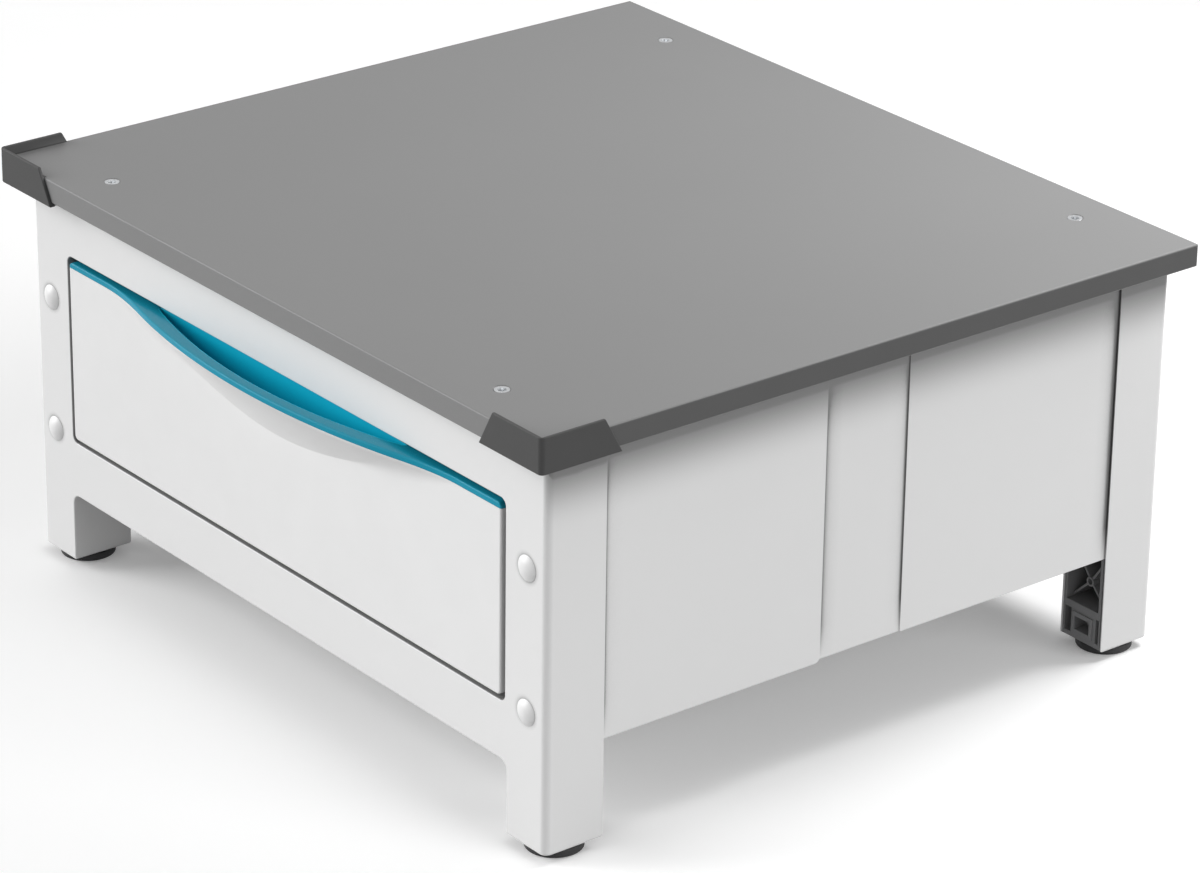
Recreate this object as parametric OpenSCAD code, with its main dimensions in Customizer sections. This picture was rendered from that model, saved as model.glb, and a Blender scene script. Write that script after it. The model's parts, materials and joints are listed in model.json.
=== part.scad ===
// Pedestal with a pull-out drawer, for standing a washing machine on.
// A grey board lies on two white pressed frames whose legs hold ribbed plastic cores.
// Telescoping side sheets close the sides, and the drawer runs on ball-bearing slides.
//
// Axes: +X to the right seen from the front, +Y to the back, +Z up.
// Origin: on the floor, in the middle of the space that the pedestal covers.

/* [Board] */
// Width of the board
board_w = 600; // [560:1:640]
// Depth of the board
board_d = 544; // [520:1:600]
// Thickness of the board
board_t = 16; // [12:1:22]
// Height of the board's top above the floor
board_top = 295; // [285:1:330]
// How far the board stands out over the front frame
front_overhang = 14; // [12:1:20]
// How far the board stands out over the sides
side_overhang = 12; // [10:1:18]
// How far the board stands out over the back
back_overhang = 12; // [8:1:20]
// Distance of the board screws from the board's side edges
board_screw_x = 83; // [60:1:110]
// Distance of the board screws from the board's front and back edges
board_screw_y = 33; // [28:1:36]

/* [Corner guards] */
// Thickness of a guard outside the board's edge
guard_wall = 2.3; // [2:0.1:4]
// Depth of the rebates in the board's edges that take the guards
guard_rebate = 2; // [1:0.5:4]
// Height of a guard above the board
guard_rise = 6.4; // [4:0.1:10]
// Thickness of the lip under the board
guard_lip_t = 2.3; // [1:0.1:3]
// Depth of the lip under the board
guard_lip_d = 9; // [7:0.5:9]
// Length of each wing along its top edge
guard_top_len = 49; // [40:1:60]
// Length of each wing along its bottom edge
guard_bottom_len = 62.5; // [55:0.5:80]

/* [Frames] */
// Thickness of the frames' sheet steel
sheet = 1; // [0.8:0.1:1.2]
// Width of a leg seen from the front
leg_w = 40; // [38:1:46]
// Depth of a front leg
front_leg_d = 46; // [44:1:52]
// Depth of a rear leg
rear_leg_d = 44; // [42:1:50]
// Height of the legs' lower ends above the floor
leg_bottom = 7; // [6.5:0.5:12]
// Height of the rails' undersides
rail_bottom = 57; // [50:1:70]
// Depth of the flanges under the rails
rail_flange = 20; // [12:1:30]
// Depth of the flanges that carry the board
top_flange = 40; // [38:1:44]
// Outer radius of the frames' upright corners
corner_r = 5; // [3:0.5:6]
// Radius where a leg meets the rail
leg_fillet_r = 7; // [4:1:12]
// Height of the drawer opening's lower edge
opening_bottom = 98; // [90:1:104]
// Height of the drawer opening's upper edge
opening_top = 236.2; // [232:0.1:242]
// Distance of the drawer opening from the frame's side
opening_inset = 42; // [42:0.5:48]
// Corner radius of the drawer opening
opening_r = 5; // [3:0.5:8]
// Depth of the flange round the drawer opening
opening_flange = 12; // [8:1:14]

/* [Side sheets] */
// Height of the side sheets' lower edge
side_bottom = 75; // [65:1:85]
// Distance from the front of the frame to the front sheet's rear edge
front_sheet_end = 223; // [200:1:240]
// Distance from the front of the frame to the joggle of the rear sheet
joggle_at = 292; // [270:1:320]
// Length of the rear sheet's tongue hidden behind the front sheet
tongue_overlap = 33; // [20:1:60]
// Width of the hem along the front sheet's rear edge
hem_w = 12; // [8:1:16]
// Width of the flanges along the sheets' upper and lower edges
side_flange = 18; // [12:1:24]

/* [Leg cores] */
// Wall of a leg core
core_wall = 2.5; // [2:0.1:3.5]
// Height of the solid foot block of a core
core_block_h = 26; // [22:1:30]
// Thickness of the ribs in a core
core_rib = 1.8; // [1.4:0.1:2.4]
// Outer radius of the screw bosses in a core
core_boss_r = 3.5; // [3.2:0.1:4.5]
// How far the screw bosses end inside a core's open face
core_boss_inset = 5; // [3:1:10]

/* [Levelling feet] */
// Radius of a foot's rubber pad
pad_r = 19.3; // [16:0.1:20]
// Height of a foot's rubber pad
pad_h = 5.5; // [5:0.1:6]
// Radius of a foot's threaded stud
stud_r = 5; // [4:0.5:6]
// Height of the stud's end above the floor
stud_top = 33; // [31:0.5:34]
// Height of the threaded insert in a leg
insert_h = 18; // [14:1:20]

/* [Front screws and caps] */
// Height of the lower front screws
cap_low_z = 100; // [96:1:104]
// Height of the upper front screws
cap_high_z = 198.5; // [190:0.5:206]
// Radius of a screw cap
cap_r = 9; // [8:0.1:10]
// Height of a screw cap's dome
cap_h = 3.2; // [3:0.1:4.5]

/* [Drawer front] */
// Gap at the drawer front's sides and lower edge
front_gap = 3.2; // [2.5:0.1:3.6]
// Gap over the drawer front
front_top_gap = 3.2; // [2.5:0.1:5]
// How far the drawer front's face stands out of the frame
front_proud = 1; // [0:0.5:3]
// Thickness of the drawer front
front_t = 18; // [16:1:20]
// Wall of the moulded drawer front
front_wall = 2.8; // [2:0.1:3.5]
// Corner radius of the drawer front
front_corner_r = 3.8; // [3:0.1:4]
// Radius along the edges of the drawer front's face
front_edge_r = 1.5; // [1:0.1:2]

/* [Handle lip] */
// How far the lip stands out of the drawer front
lip_reach = 25; // [20:0.5:30]
// Half width of the lip, where its bow meets the face
lip_half = 174.5; // [160:0.5:185]
// Height of the coloured band along the top of the drawer front
band_h = 4; // [4:0.1:8]
// Thickness of the band at the edge of the finger pocket
band_t = 5.5; // [5:0.1:7]
// Height from the sweep's lower edge to the coloured band
sweep_h = 39.7; // [38.2:0.1:44]
// Lean of the sweep at its lower edge, from the upright
sweep_start = 16; // [14:1:20]
// Lean of the sweep at its steepest, from the upright
sweep_end = 59; // [54:1:60]
// Radius of the lip's nose
nose_r = 8; // [7:0.5:9]
// Wall of the finger pocket
pocket_wall = 2.5; // [2:0.1:3]
// Depth of the finger pocket below the band's top
pocket_depth = 30.2; // [26:0.1:33]
// Distance of the pocket's rear wall behind the drawer front's face
pocket_back = 8; // [7:0.5:12]

/* [Drawer box] */
// Height of the drawer sides
side_h = 106; // [90:1:112]
// Gap between the drawer opening's lower edge and the drawer sides
box_lift = 8; // [6:1:12]
// Thickness of the drawer box's sheet steel
box_sheet = 1; // [0.8:0.1:1.4]
// Width of the drawer box's flanges
box_flange = 15; // [15:1:18]
// Height of the drawer's rear wall
back_h = 94; // [80:1:100]

/* [Slides] */
// Height of a slide's closed profile
slide_h = 45; // [45:1:50]
// Height of the slides' middle above the floor
slide_z = 155; // [150:1:160]
// Thickness of the slides' steel
slide_sheet = 1.2; // [1:0.1:1.3]
// Running gap between the parts of a slide
slide_gap = 0.3; // [0.25:0.05:0.4]
// Radius of the bearing balls
ball_r = 1.8; // [1.6:0.1:1.8]
// Number of balls in each row of a cage
ball_count = 8; // [4:1:12]
// Height of the rails that carry the slides
carrier_h = 72; // [72:1:80]
// Width of the carrier rails' flanges
carrier_flange = 6; // [4:0.5:8]

/* [Hidden] */

$fn = 64;
bow_fn = 360;   // segments of the lip's long bow
eps = 0.01;     // overlap that keeps cuts clean
past = 2;       // how far a cutting shape reaches past what it cuts

// Colours
white_paint = [0.93, 0.93, 0.93];
white_plastic = [0.95, 0.95, 0.94];
board_grey = [0.42, 0.42, 0.43];
guard_grey = [0.25, 0.25, 0.26];
core_grey = [0.35, 0.35, 0.36];
teal = [0.03, 0.53, 0.65];
steel = [0.72, 0.72, 0.74];
zinc = [0.8, 0.8, 0.82];
rubber_black = [0.1, 0.1, 0.1];

// The main planes of the pedestal
front_reach = max(lip_reach + front_proud - front_overhang, guard_wall);
board_front = (front_reach - board_d) / 2;
board_back = board_front + board_d;
board_half = board_w / 2;
board_bottom = board_top - board_t;
body_front = board_front + front_overhang;
body_back = board_back - back_overhang;
body_half = board_half - side_overhang;
leg_in = body_half - leg_w;
opening_half = body_half - opening_inset;
side_x = body_half - sheet;       // outer face of the front side sheets
flange_under = board_bottom - sheet;

// Fasteners: radii of shafts, holes and heads
m5_r = 2.5;
m5_hole_r = 2.8;
m5_thread_r = 2.55;
m4_r = 2;
m4_hole_r = 2.1;
m3_r = 1.5;
m3_hole_r = 1.55;
frame_screw_len = 20;
carrier_screw_len = 13;
guard_screw_len = 10;
head_h = 2;
rear_head_r = 4.5;
board_head_r = 5.75;
board_head_h = 3.3;
rivet_head_r = 3.5;
rivet_head_h = 0.8;
washer_face = 0.1;   // clearance round a countersunk head

// The drawer front
face_y = body_front - front_proud;
face_half = opening_half - front_gap;
front_z0 = opening_bottom + front_gap;
band_top = opening_top - front_top_gap;
band_z = band_top - band_h;
front_back_y = face_y + front_t;

// The slides, measured from the carrier rails towards the drawer
carrier_x = leg_in - slide_sheet;      // inner face of a carrier rail
outer_d = 10.5;                        // depth of the outer member's profile
middle_u = slide_sheet + 2 * slide_gap + cage_web();
middle_d = 8.4;
inner_u = middle_u + slide_sheet + 2 * slide_gap + cage_web();
slide_room = outer_d + 2.2;            // from the carrier rail to the drawer side
bend_r = 3;
slot_gap = 0.7;                        // gap between a member and the slot it passes
race = 2 * ball_r + 2 * slide_gap;     // gap between two members where the balls run
outer_h = slide_h;
middle_h = outer_h - 2 * (slide_sheet + race);
inner_h = middle_h - 2 * (slide_sheet + race);
slide_step = 50;                       // slides are sold in lengths of whole steps
slide_room_y = 80;                     // depth that the board has over the slides at least
slide_len = slide_step * floor((board_d - slide_room_y) / slide_step);
slide_engaged = 30;                    // length of a slide that the drawer doesn't use
travel = slide_len - slide_engaged;    // how far the drawer pulls out
slide_y0 = body_front + opening_flange + 12;
carrier_y0 = front_back_y + 1.5;
carrier_y1 = body_back - 10;
cage_stop = 18;                        // from the outer member's front end to its cage, fully open
cage_start = travel / 4 + cage_stop;
cage_len = slide_len - travel / 2 - 2 * cage_stop - 4;
drawer_x = carrier_x - slide_room;     // outer face of the drawer sides

function cage_web() = 0.8;

// The drawer box
box_y0 = front_back_y + box_sheet;
box_y1 = box_y0 + slide_len - 10;
box_z0 = opening_bottom + box_lift;
box_z1 = box_z0 + side_h;
front_screw_x = drawer_x - box_sheet - box_flange / 2 + 0.5;
front_screw_z = [box_z0 + 17, box_z1 - 17];
box_rivet_z = [box_z0 + 12, box_z0 + back_h - 12];
box_rivet_y = box_y1 - box_sheet - box_flange / 2;
slide_rivet_start = 28;
slide_rivet_room = 60;
slide_rivet_pitch = (slide_len - slide_rivet_room) / 2.2;
slide_rivet_y = [for (k = [0:2]) slide_y0 + slide_rivet_start + k * slide_rivet_pitch];

// The leg cores
core_pitch = (cap_high_z - cap_low_z) / 2;
core_z0 = leg_bottom;
core_block_top = core_z0 + core_block_h;
core_x0 = leg_in + sheet;
boss_z = [for (k = [-1:3]) cap_low_z + k * core_pitch];
foot_x = body_half - leg_w / 2;
foot_front_y = body_front + front_leg_d / 2;
foot_rear_y = body_back - rear_leg_d / 2;
carrier_screw_edge = 7;                  // from a carrier rail's edges to its screws
carrier_screw_z = [for (side = [-1, 1]) slide_z + side * (carrier_h / 2 - carrier_screw_edge)];
front_carrier_hole = front_leg_d - 14;   // from the frame's face to its carrier screws
rear_carrier_hole = rear_leg_d / 2;
carrier_screw_front_y = body_front + front_carrier_hole;
carrier_screw_rear_y = body_back - rear_carrier_hole;

// ---------------------------------------------------------------- helpers

// Mirrors its children to the left side when side is -1.
module on_side(side) {
  if (side < 0) mirror([1, 0, 0]) children();
  else children();
}

// Puts its children at both sides, as mirror images.
module both_sides() {
  for (side = [-1, 1]) on_side(side) children();
}

// A rectangle from (x0, y0) to (x1, y1) with round corners.
module round_rect(x0, y0, x1, y1, r) {
  translate([x0 + r, y0]) square([x1 - x0 - 2 * r, y1 - y0]);
  translate([x0, y0 + r]) square([x1 - x0, y1 - y0 - 2 * r]);
  for (x = [x0 + r, x1 - r], y = [y0 + r, y1 - r]) translate([x, y]) circle(r);
}

// A box given by two opposite corners.
module box(p, q) {
  translate(p) cube([for (i = [0:2]) q[i] - p[i]]);
}

// Extrudes an outline drawn in X and Z along +Y from y0.
module extrude_y(y0, length) {
  translate([0, y0 + length, 0]) rotate([90, 0, 0]) linear_extrude(length) children();
}

// Extrudes an outline drawn in Y and Z along +X from x0.
module extrude_x(x0, length) {
  translate([x0, 0, 0]) rotate([90, 0, 90]) linear_extrude(length) children();
}

// A straight rod along an axis, from its start point.
module rod_x(p, length, r) {
  translate(p) rotate([0, 90, 0]) cylinder(h = length, r = r);
}

module rod_y(p, length, r) {
  translate(p) rotate([-90, 0, 0]) cylinder(h = length, r = r);
}

module rod_z(p, length, r) {
  translate(p) cylinder(h = length, r = r);
}

// ---------------------------------------------------------------- top board

module each_board_screw() {
  for (x = [-1, 1] * (board_half - board_screw_x),
       y = [board_front + board_screw_y, board_back - board_screw_y])
    translate([x, y, 0]) children();
}

module board_screw(extra = 0) {
  translate([0, 0, board_top - board_head_h])
    cylinder(h = board_head_h, r1 = m5_r + extra, r2 = board_head_r + extra);
}

module top_board() {
  edge = 1;
  color(board_grey) difference() {
    intersection() {
      linear_extrude(board_top) round_rect(-board_half, board_front, board_half, board_back, edge);
      extrude_x(-board_half, board_w)
        round_rect(board_front, board_bottom, board_back, board_top, edge);
      extrude_y(board_front, board_d)
        round_rect(-board_half, board_bottom, board_half, board_top, edge);
    }
    each_board_screw() {
      rod_z([0, 0, board_bottom - past], board_t + 2 * past, m5_hole_r);
      board_screw(washer_face);
      rod_z([0, 0, board_top - eps], past, board_head_r + washer_face);
    }
    both_sides() {
      guard_walls();
      each_guard_screw() rod_z([0, 0, board_bottom - past], guard_screw_len + past, m3_hole_r);
    }
  }
}

module board_screws() {
  drive_r = 1.9;
  drive_depth = 1.6;
  shaft_end = flange_under - 10;
  color(zinc) each_board_screw() difference() {
    union() {
      board_screw();
      rod_z([0, 0, shaft_end], board_top - board_head_h - shaft_end + eps, m5_r);
    }
    translate([0, 0, board_top - drive_depth]) cylinder(h = drive_depth + past, r = drive_r, $fn = 6);
  }
}

module board_nuts() {
  nut_h = 5;
  nut_r = 5.2;
  color(zinc) each_board_screw() difference() {
    translate([0, 0, flange_under - nut_h]) cylinder(h = nut_h, r = nut_r, $fn = 6);
    rod_z([0, 0, flange_under - nut_h - past], nut_h + 2 * past, m5_thread_r);
  }
}

// ---------------------------------------------------------------- corner guards

module each_guard_screw() {
  seat = guard_lip_d / 2 + 1;
  along = guard_top_len - 14;
  translate([board_half - along, board_front + seat + 0.5, 0]) children();
  translate([board_half - seat, board_front + along, 0]) children();
}

// Outline of a wing seen square on: its free end slants, so its lower edge is the longer one.
module wing_outline(corner) {
  z0 = board_bottom - guard_lip_t;
  z1 = board_top + guard_rise;
  polygon([
    [corner, z0], [corner + guard_bottom_len, z0],
    [corner + guard_top_len, z1], [corner, z1]
  ]);
}

// The upright walls of the right guard. They also cut the rebate out of the board.
module guard_walls() {
  outer_x = board_half + guard_wall;
  outer_y = board_front - guard_wall;
  depth = guard_wall + guard_rebate;
  corner_round = 3.5;
  intersection() {
    union() {
      extrude_y(outer_y, depth) mirror([1, 0]) wing_outline(-outer_x);
      extrude_x(outer_x - depth, depth) wing_outline(outer_y);
    }
    linear_extrude(board_top + 2 * guard_rise)
      round_rect(outer_x - 2 * guard_bottom_len, outer_y, outer_x, outer_y + 2 * guard_bottom_len,
                 corner_round);
  }
}

module corner_guard() {
  lip_end = guard_bottom_len - guard_wall - 1;
  z0 = board_bottom - guard_lip_t;
  color(guard_grey) difference() {
    union() {
      guard_walls();
      // lip under the board
      box([board_half - lip_end, board_front - eps, z0],
          [board_half, board_front + guard_lip_d, board_bottom]);
      box([board_half - guard_lip_d, board_front, z0],
          [board_half + eps, board_front + lip_end, board_bottom]);
    }
    // above the board only the outer part of the wall rises
    box([board_half - 2 * guard_bottom_len, board_front, board_top],
        [board_half, board_front + 2 * guard_bottom_len, board_top + 2 * guard_rise]);
    each_guard_screw() rod_z([0, 0, board_bottom - 2 * past], 3 * past, m3_hole_r);
  }
}

module corner_guard_left() { on_side(-1) corner_guard(); }
module corner_guard_right() { on_side(1) corner_guard(); }

module guard_screws() {
  seat_z = board_bottom - guard_lip_t;
  small_head_h = 1.4;
  small_head_r = 2.8;
  color(steel) both_sides() each_guard_screw() {
    rod_z([0, 0, seat_z], guard_screw_len, m3_r);
    rod_z([0, 0, seat_z - small_head_h], small_head_h, small_head_r);
  }
}

// ---------------------------------------------------------------- frames

// Plan of a frame, with its face at y = 0 and its two outer corners rounded.
module frame_plan(half, y0, depth, r) {
  translate([-half, y0 + r]) square([2 * half, depth - y0 - r]);
  translate([-half + r, y0]) square([2 * (half - r), r + eps]);
  for (x = [-1, 1] * (half - r)) translate([x, y0 + r]) circle(r);
}

// The gap between the legs, under the rail, grown by a margin.
module leg_gap(grow) {
  round_rect(-leg_in - grow, -board_top, leg_in + grow, rail_bottom + grow, leg_fillet_r + grow);
}

module opening_outline(grow) {
  round_rect(-opening_half - grow, opening_bottom - grow, opening_half + grow, opening_top + grow,
             opening_r + grow);
}

// One pressed frame, with its face at y = 0 and its legs open towards +Y.
module frame_pressing(leg_d, screw_y) {
  difference() {
    union() {
      // face and side wraps
      difference() {
        translate([0, 0, leg_bottom]) linear_extrude(board_bottom - leg_bottom)
          frame_plan(body_half, 0, leg_d, corner_r);
        translate([0, 0, leg_bottom - past]) linear_extrude(board_bottom - leg_bottom + 2 * past)
          frame_plan(body_half - sheet, sheet, leg_d + past, corner_r - sheet);
      }
      // inner walls of the legs
      both_sides() box([leg_in, sheet / 2, leg_bottom], [leg_in + sheet, leg_d, board_bottom]);
      // flange that follows the gap between the legs
      extrude_y(sheet / 2, rail_flange - sheet / 2) intersection() {
        difference() {
          leg_gap(sheet);
          leg_gap(0);
        }
        translate([-body_half, leg_bottom]) square([2 * body_half, board_top]);
      }
      // flange under the board
      translate([0, 0, flange_under]) linear_extrude(sheet)
        frame_plan(body_half - sheet / 2, sheet / 2, top_flange, corner_r - sheet / 2);
    }
    extrude_y(-past, 2 * leg_d) leg_gap(0);
    both_sides() for (z = carrier_screw_z)
      rod_x([leg_in - past, screw_y, z], leg_w / 2, m4_hole_r);
    both_sides() for (z = [cap_low_z, cap_high_z])
      rod_y([foot_x, -past, z], 2 * past, m4_hole_r);
  }
}

module front_frame() {
  color(white_paint) difference() {
    union() {
      translate([0, body_front, 0]) frame_pressing(front_leg_d, front_carrier_hole);
      // flange round the drawer opening
      extrude_y(body_front + sheet / 2, opening_flange - sheet / 2) opening_outline(sheet);
    }
    extrude_y(body_front - past, opening_flange + 2 * past) opening_outline(0);
    each_board_screw() rod_z([0, 0, flange_under - past], 2 * past + sheet, m5_hole_r);
  }
}

module rear_frame() {
  color(white_paint) difference() {
    translate([0, body_back, 0]) mirror([0, 1, 0]) frame_pressing(rear_leg_d, rear_carrier_hole);
    each_board_screw() rod_z([0, 0, flange_under - past], 2 * past + sheet, m5_hole_r);
  }
}

// ---------------------------------------------------------------- side sheets

hidden_edge = 12;    // how far a sheet ends inside the face of a frame

module side_sheet_front() {
  y0 = body_front + hidden_edge;
  y1 = body_front + front_sheet_end;
  clear_y = body_front + front_leg_d + sheet;
  corner = 4;
  color(white_paint) {
    difference() {
      box([side_x - sheet, y0, side_bottom], [side_x, y1, flange_under]);
      // the lower rear corner is rounded off
      extrude_x(side_x - 2 * sheet, 3 * sheet) difference() {
        translate([y1 - corner, side_bottom - past]) square([corner + past, corner + past]);
        translate([y1 - corner, side_bottom + corner]) circle(corner);
      }
    }
    box([side_x - 2 * sheet, y1 - hem_w, side_bottom + corner],
        [side_x - sheet + eps, y1, flange_under + eps]);
    box([side_x - side_flange, clear_y, flange_under], [side_x, y1, board_bottom]);
    box([side_x - side_flange, clear_y, side_bottom], [side_x, y1 - hem_w - past, side_bottom + sheet]);
  }
}

module side_sheet_rear() {
  y0 = body_front + front_sheet_end - tongue_overlap;
  y_step = body_front + joggle_at;
  y1 = body_back - hidden_edge;
  clear_front = body_front + front_sheet_end + sheet;
  clear_rear = body_back - rear_leg_d - sheet;
  tongue_x = side_x - 2 * sheet;
  sheet_x = side_x - sheet;
  z0 = side_bottom + sheet;
  color(white_paint) {
    // tongue, joggled inwards by one sheet
    box([tongue_x - sheet, y0, z0], [tongue_x, y_step + sheet, flange_under - sheet]);
    box([sheet_x - sheet, y_step, z0], [sheet_x, y1, flange_under]);
    box([tongue_x - side_flange, clear_front, flange_under], [tongue_x, y_step + sheet, board_bottom]);
    box([tongue_x - sheet, clear_front, flange_under - past], [tongue_x, y_step + sheet, board_bottom]);
    box([tongue_x - side_flange, y_step, flange_under], [sheet_x, clear_rear, board_bottom]);
    box([tongue_x - side_flange, clear_front, z0], [tongue_x, clear_rear, z0 + sheet]);
  }
}

module side_sheet_front_left() { on_side(-1) side_sheet_front(); }
module side_sheet_front_right() { on_side(1) side_sheet_front(); }
module side_sheet_rear_left() { on_side(-1) side_sheet_rear(); }
module side_sheet_rear_right() { on_side(1) side_sheet_rear(); }

// ---------------------------------------------------------------- leg cores

// One ribbed core, with its closed face at y = 0 and its open face towards +Y.
module leg_core(depth, outer_x, screw_y) {
  x0 = core_x0;
  w = outer_x - x0;
  top = flange_under;
  mid_x = foot_x;
  round_r = corner_r - sheet;
  insert_y = (depth + 1 + sheet) / 2;
  slot_deep = 30;
  recess_deep = 12;
  slot_z0 = core_z0 + 3.5;
  slot_z1 = slot_z0 + 18;
  cell_z = [
    core_block_top,
    for (k = [0:3]) (boss_z[k] + boss_z[k + 1]) / 2,
    top - core_wall + core_rib / 2
  ];
  color(core_grey) difference() {
    union() {
      difference() {
        translate([0, 0, core_z0]) linear_extrude(top - core_z0) {
          translate([x0, 0]) square([w - round_r, depth]);
          translate([x0, round_r]) square([w, depth - round_r]);
          translate([x0 + w - round_r, round_r]) circle(round_r);
        }
        for (k = [0:4])
          box([x0 + core_wall, core_wall, cell_z[k] + core_rib / 2],
              [outer_x - core_wall, depth + past, cell_z[k + 1] - core_rib / 2]);
      }
      for (k = [0:4]) core_cell(boss_z[k], cell_z[k], cell_z[k + 1], mid_x, depth, outer_x);
      // raised frame round the window
      extrude_y(depth - eps, 1) difference() {
        round_rect(mid_x - 10, core_z0 + 4, mid_x + 10, core_z0 + 20.5, 1);
        core_window(mid_x);
      }
    }
    extrude_y(depth - 10, 20) core_window(mid_x);
    // tall slot beside the window
    box([x0 + 1.5, depth - slot_deep, slot_z0], [x0 + 7.7, depth + past, slot_z1]);
    // recess at the outer side
    box([mid_x + 12.5, depth - recess_deep, slot_z0], [outer_x - 1.5, depth + past, slot_z1]);
    for (z = boss_z) rod_y([mid_x, -past, z], depth, m4_hole_r);
    for (z = carrier_screw_z) rod_x([x0 - past, screw_y - sheet, z], leg_w / 2, m4_hole_r);
    // pocket of the threaded insert, and the way for the stud above it
    rod_z([mid_x, insert_y - sheet, core_z0 - past], insert_h + past, insert_r + 0.1);
    rod_z([mid_x, insert_y - sheet, core_z0], core_block_h + past, stud_r + 0.6);
  }
}

insert_r = 8;

module core_window(mid_x) {
  translate([mid_x - 7, core_z0 + 7.5]) square([14, 9.5]);
}

// A screw boss with four ribs that run out to the corners of its cell.
module core_cell(z, z_low, z_high, mid_x, depth, outer_x) {
  boss_end = depth - core_boss_inset;
  rib_end = boss_end - 1;
  rod_y([mid_x, core_wall / 2, z], boss_end - core_wall / 2, core_boss_r);
  intersection() {
    box([core_x0 + core_wall / 2, core_wall / 2, z_low], [outer_x - core_wall / 2, rib_end, z_high]);
    for (x = [core_x0, outer_x], end_z = [z_low, z_high])
      extrude_y(0, depth) core_rib_outline(mid_x, z, x, end_z);
  }
}

// A straight rib between two points, drawn in X and Z.
module core_rib_outline(xa, za, xb, zb) {
  length = sqrt((xb - xa) ^ 2 + (zb - za) ^ 2);
  translate([xa, za]) rotate(atan2(zb - za, xb - xa))
    translate([0, -core_rib / 2]) square([length, core_rib]);
}

front_core_d = front_leg_d - sheet - 1;
rear_core_d = rear_leg_d - sheet - 1;

module front_core() {
  translate([0, body_front + sheet, 0])
    leg_core(front_core_d, side_x - sheet, front_carrier_hole);
}

module rear_core() {
  translate([0, body_back - sheet, 0]) mirror([0, 1, 0])
    leg_core(rear_core_d, side_x - 2 * sheet, rear_carrier_hole);
}

module leg_core_front_left() { on_side(-1) front_core(); }
module leg_core_front_right() { on_side(1) front_core(); }
module leg_core_rear_left() { on_side(-1) rear_core(); }
module leg_core_rear_right() { on_side(1) rear_core(); }

// ---------------------------------------------------------------- frame screws and caps

module each_frame_screw() {
  both_sides() for (z = [cap_low_z, cap_high_z]) translate([foot_x, 0, z]) children();
}

module frame_screws_front() {
  head_t = 1.4;
  color(zinc) each_frame_screw() {
    rod_y([0, body_front - head_t, 0], head_t, 4);
    rod_y([0, body_front - eps, 0], frame_screw_len, m4_r);
  }
}

module frame_screws_rear() {
  color(zinc) each_frame_screw() {
    rod_y([0, body_back, 0], head_h, rear_head_r);
    rod_y([0, body_back - frame_screw_len, 0], frame_screw_len + eps, m4_r);
  }
}

// Shallow domes that snap over the heads of the front screws.
module screw_caps() {
  dome_r = (cap_r ^ 2 + cap_h ^ 2) / (2 * cap_h);
  half_angle = asin(cap_r / dome_r);
  head_room = 1.7;
  head_room_r = 5;
  color(white_plastic) each_frame_screw() translate([0, body_front, 0]) rotate([90, 0, 0])
    rotate_extrude() polygon(concat(
      [[0, head_room], [head_room_r, head_room], [head_room_r, 0]],
      arc([0, cap_h - dome_r], dome_r, 90 - half_angle, 90, 12)
    ));
}

// ---------------------------------------------------------------- levelling feet

module at_foot(side, y) {
  translate([side * foot_x, y, 0]) children();
}

module each_foot() {
  for (side = [-1, 1], y = [foot_front_y, foot_rear_y]) at_foot(side, y) children();
}

socket_z = 2.5;       // floor of the pad's socket
stud_head_h = 1.8;
stud_head_r = 7.7;
socket_r = stud_head_r + 0.08;

module foot_inserts() {
  color(zinc) each_foot() difference() {
    rod_z([0, 0, leg_bottom], insert_h, insert_r);
    rod_z([0, 0, leg_bottom - past], insert_h + 2 * past, stud_r + 0.06);
  }
}

// A rubber pad with a round lower edge, and a socket that holds the stud's head.
module foot_pad() {
  edge_r = 2;
  lip_h = 0.8;
  mouth_r = stud_head_r - 1.2;
  color(rubber_black) difference() {
    rotate_extrude() {
      square([pad_r - edge_r, pad_h]);
      translate([0, edge_r]) square([pad_r, pad_h - edge_r]);
      translate([pad_r - edge_r, edge_r]) circle(edge_r);
    }
    rod_z([0, 0, socket_z], pad_h - lip_h - socket_z, socket_r);
    rod_z([0, 0, socket_z], pad_h, mouth_r);
  }
}

module foot_stud() {
  slot_w = 1.6;
  slot_d = 3;
  color(zinc) difference() {
    union() {
      rod_z([0, 0, socket_z], stud_head_h, stud_head_r);
      rod_z([0, 0, socket_z], stud_top - socket_z, stud_r);
    }
    // screwdriver slot in the upper end
    box([-stud_r - past, -slot_w / 2, stud_top - slot_d], [stud_r + past, slot_w / 2, stud_top + past]);
  }
}

module foot_pad_front_left() { at_foot(-1, foot_front_y) foot_pad(); }
module foot_pad_front_right() { at_foot(1, foot_front_y) foot_pad(); }
module foot_pad_rear_left() { at_foot(-1, foot_rear_y) foot_pad(); }
module foot_pad_rear_right() { at_foot(1, foot_rear_y) foot_pad(); }
module foot_stud_front_left() { at_foot(-1, foot_front_y) foot_stud(); }
module foot_stud_front_right() { at_foot(1, foot_front_y) foot_stud(); }
module foot_stud_rear_left() { at_foot(-1, foot_rear_y) foot_stud(); }
module foot_stud_rear_right() { at_foot(1, foot_rear_y) foot_stud(); }

// ---------------------------------------------------------------- carrier rails and slides

module each_carrier_screw() {
  both_sides() for (y = [carrier_screw_front_y, carrier_screw_rear_y], z = carrier_screw_z)
    translate([0, y, z]) children();
}

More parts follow.
